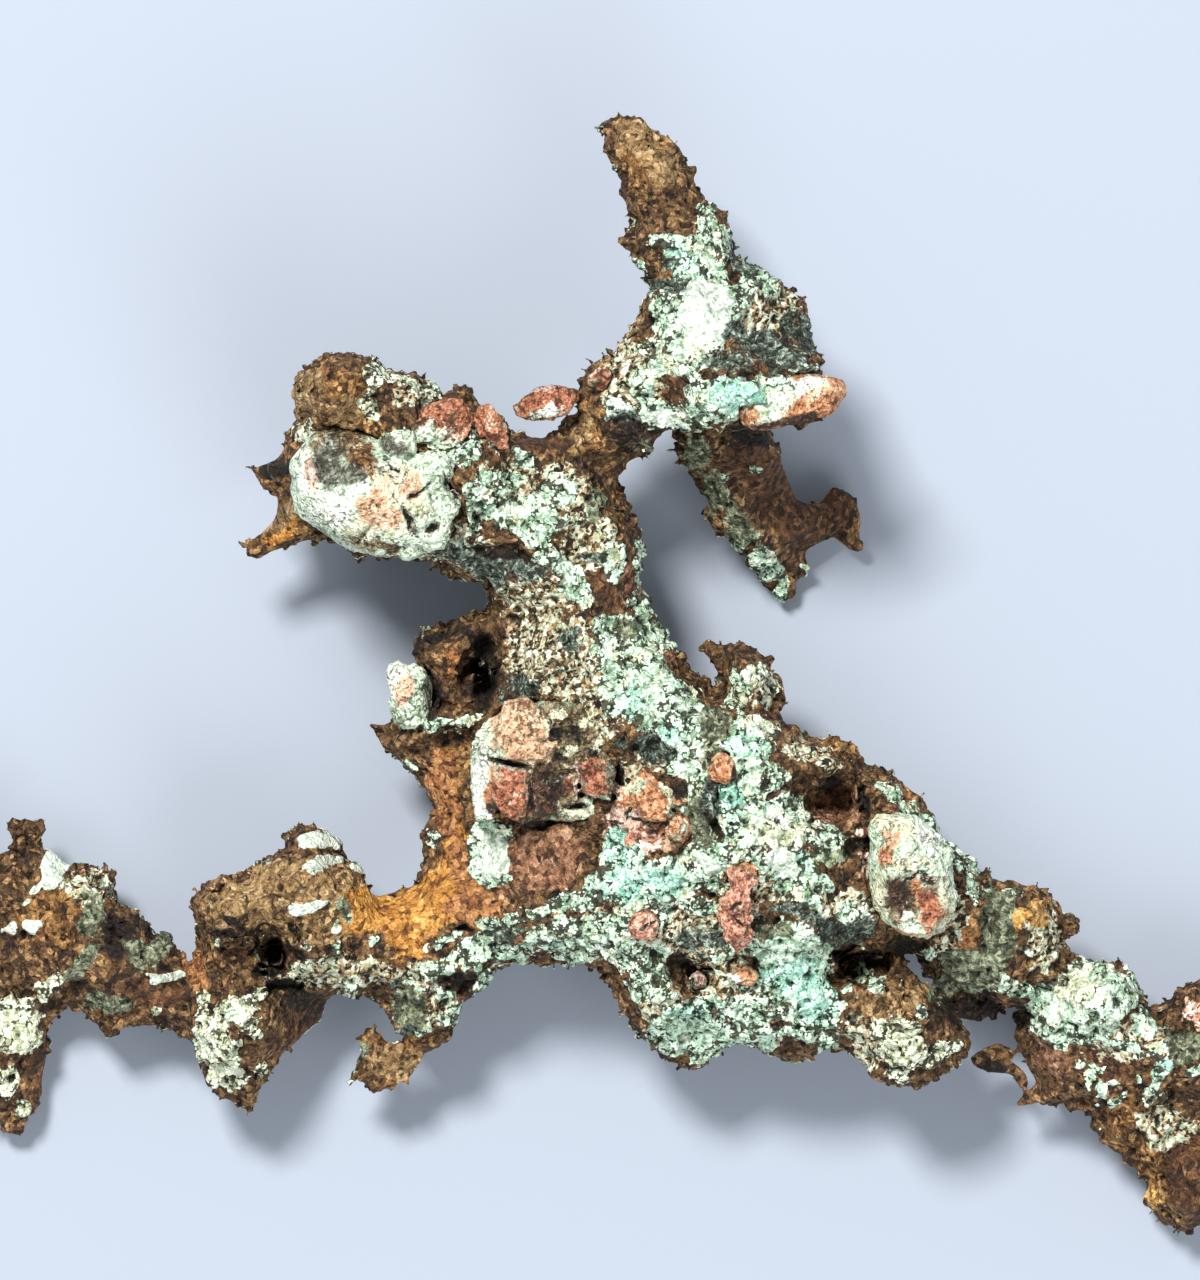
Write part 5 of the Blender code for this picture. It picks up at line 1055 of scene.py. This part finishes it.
def rock_material(name, base):
    s = Shading(name)
    speck = s.noise(0.24, 1.0, 3.0)
    grain = s.noise(0.7, 3.0, 1.0)
    blotch = s.noise(2.8, 3.0, 2.0)
    crumb_edge, crumb = s.cells(0.4)
    tone = s.sum((crumb, 0.2), (speck, 0.35), (grain, 0.25), (blotch, 0.2))

    def toned(kind):
        return s.ramp(tone, list(zip(ROCK_PLACES, ROCK_TONES[kind])))

    colour = toned(base)
    for kind in ROCK_TONES:
        edge = s.sum((s.field(kind), 1.0), (grain, 0.9), (speck, 0.9))
        colour = s.mix(s.between(edge, 1.22, 1.58), colour, toned(kind))
    dust = s.between(s.sum((speck, 0.6), (grain, 0.6), (blotch, 0.6)), 1.02, 1.12, 0.0, 0.6)
    colour = s.mix(dust, colour, linear(*DUST))
    patchy = s.noise(1.7, 2.0, 5.0)
    gap = s.between(s.sum((crumb_edge, 0.5), (speck, 0.7), (patchy, 0.9)), 1.17, 1.28, 0.0, 0.85)
    colour = s.mix(gap, colour, linear(*ROCK_GAP))
    # Painted shade: darker in the rock's hollows
    colour = s.mix(1.0, colour, s.between(s.field("cavity"), 0.0, 0.25, 1.0, 0.2), "MULTIPLY")
    worn = s.between(s.field("cavity"), -0.05, -0.2, 0.0, 0.45)
    colour = s.mix(worn, colour, linear(*WORN_EDGE))
    s.bump(s.sum((speck, 1.0), (grain, 0.8)), 0.4)
    return s.finish(colour, 0.7, 0.35)


# Stage -----------------------------------------------------------------------------------------------

def make_camera():
    data = bpy.data.cameras.new("camera")
    data.sensor_width = SENSOR
    data.lens = SENSOR * CAMERA_DISTANCE / PICTURE_HEIGHT
    data.clip_start = 0.1
    data.clip_end = 20.0
    camera = bpy.data.objects.new("camera", data)
    camera.location = CAMERA_AIM + Vector((0, 0, CAMERA_DISTANCE))
    bpy.context.scene.collection.objects.link(camera)
    bpy.context.scene.camera = camera


def make_floor():
    mesh = bpy.data.meshes.new("floor")
    half = FLOOR_SIZE / 2
    corners = [(-half, -half, 0), (half, -half, 0), (half, half, 0), (-half, half, 0)]
    mesh.from_pydata(corners, [], [(0, 1, 2, 3)])
    floor = bpy.data.objects.new("floor", mesh)
    bpy.context.scene.collection.objects.link(floor)
    floor.location.z = -FLOOR_GAP
    pale = Shading("pale_floor")
    mesh.materials.append(pale.finish(linear(*FLOOR_COLOUR), 0.9, 0.1))


def add_light(name, place, size, power, colour):
    data = bpy.data.lights.new(name, "AREA")
    data.size = size
    data.energy = power
    data.color = colour
    light = bpy.data.objects.new(name, data)
    light.location = place
    light.rotation_euler = (Vector((0, 0, 0)) - Vector(place)).to_track_quat("-Z", "Y").to_euler()
    bpy.context.scene.collection.objects.link(light)


def make_light():
    add_light("key", place=(-0.3, 0.5, 1.05), size=0.24, power=20.5, colour=(1.0, 0.98, 0.95))
    add_light("fill", place=(0.5, -0.8, 0.9), size=0.9, power=10.0, colour=(0.96, 0.98, 1.0))
    world = bpy.data.worlds.new("soft")
    world.use_nodes = True
    background = world.node_tree.nodes["Background"]
    background.inputs["Color"].default_value = (0.92, 0.96, 1.0, 1.0)
    background.inputs["Strength"].default_value = 0.45
    bpy.context.scene.world = world
    bpy.context.scene.view_settings.view_transform = "Standard"


def main():
    make_camera()
    make_floor()
    make_light()
    make_copper(copper_material())
    bases = {"pale_rock": "mint", "red_rock": "red", "orange_rock": "orange"}
    rock_materials = {slot: rock_material(slot, base) for slot, base in bases.items()}
    slots = {row["node"]: row["material_slot"] for row in frame["record"]["subparts"]}
    for node in ROCKS:
        make_rock(node, rock_materials[slots[node]])


main()
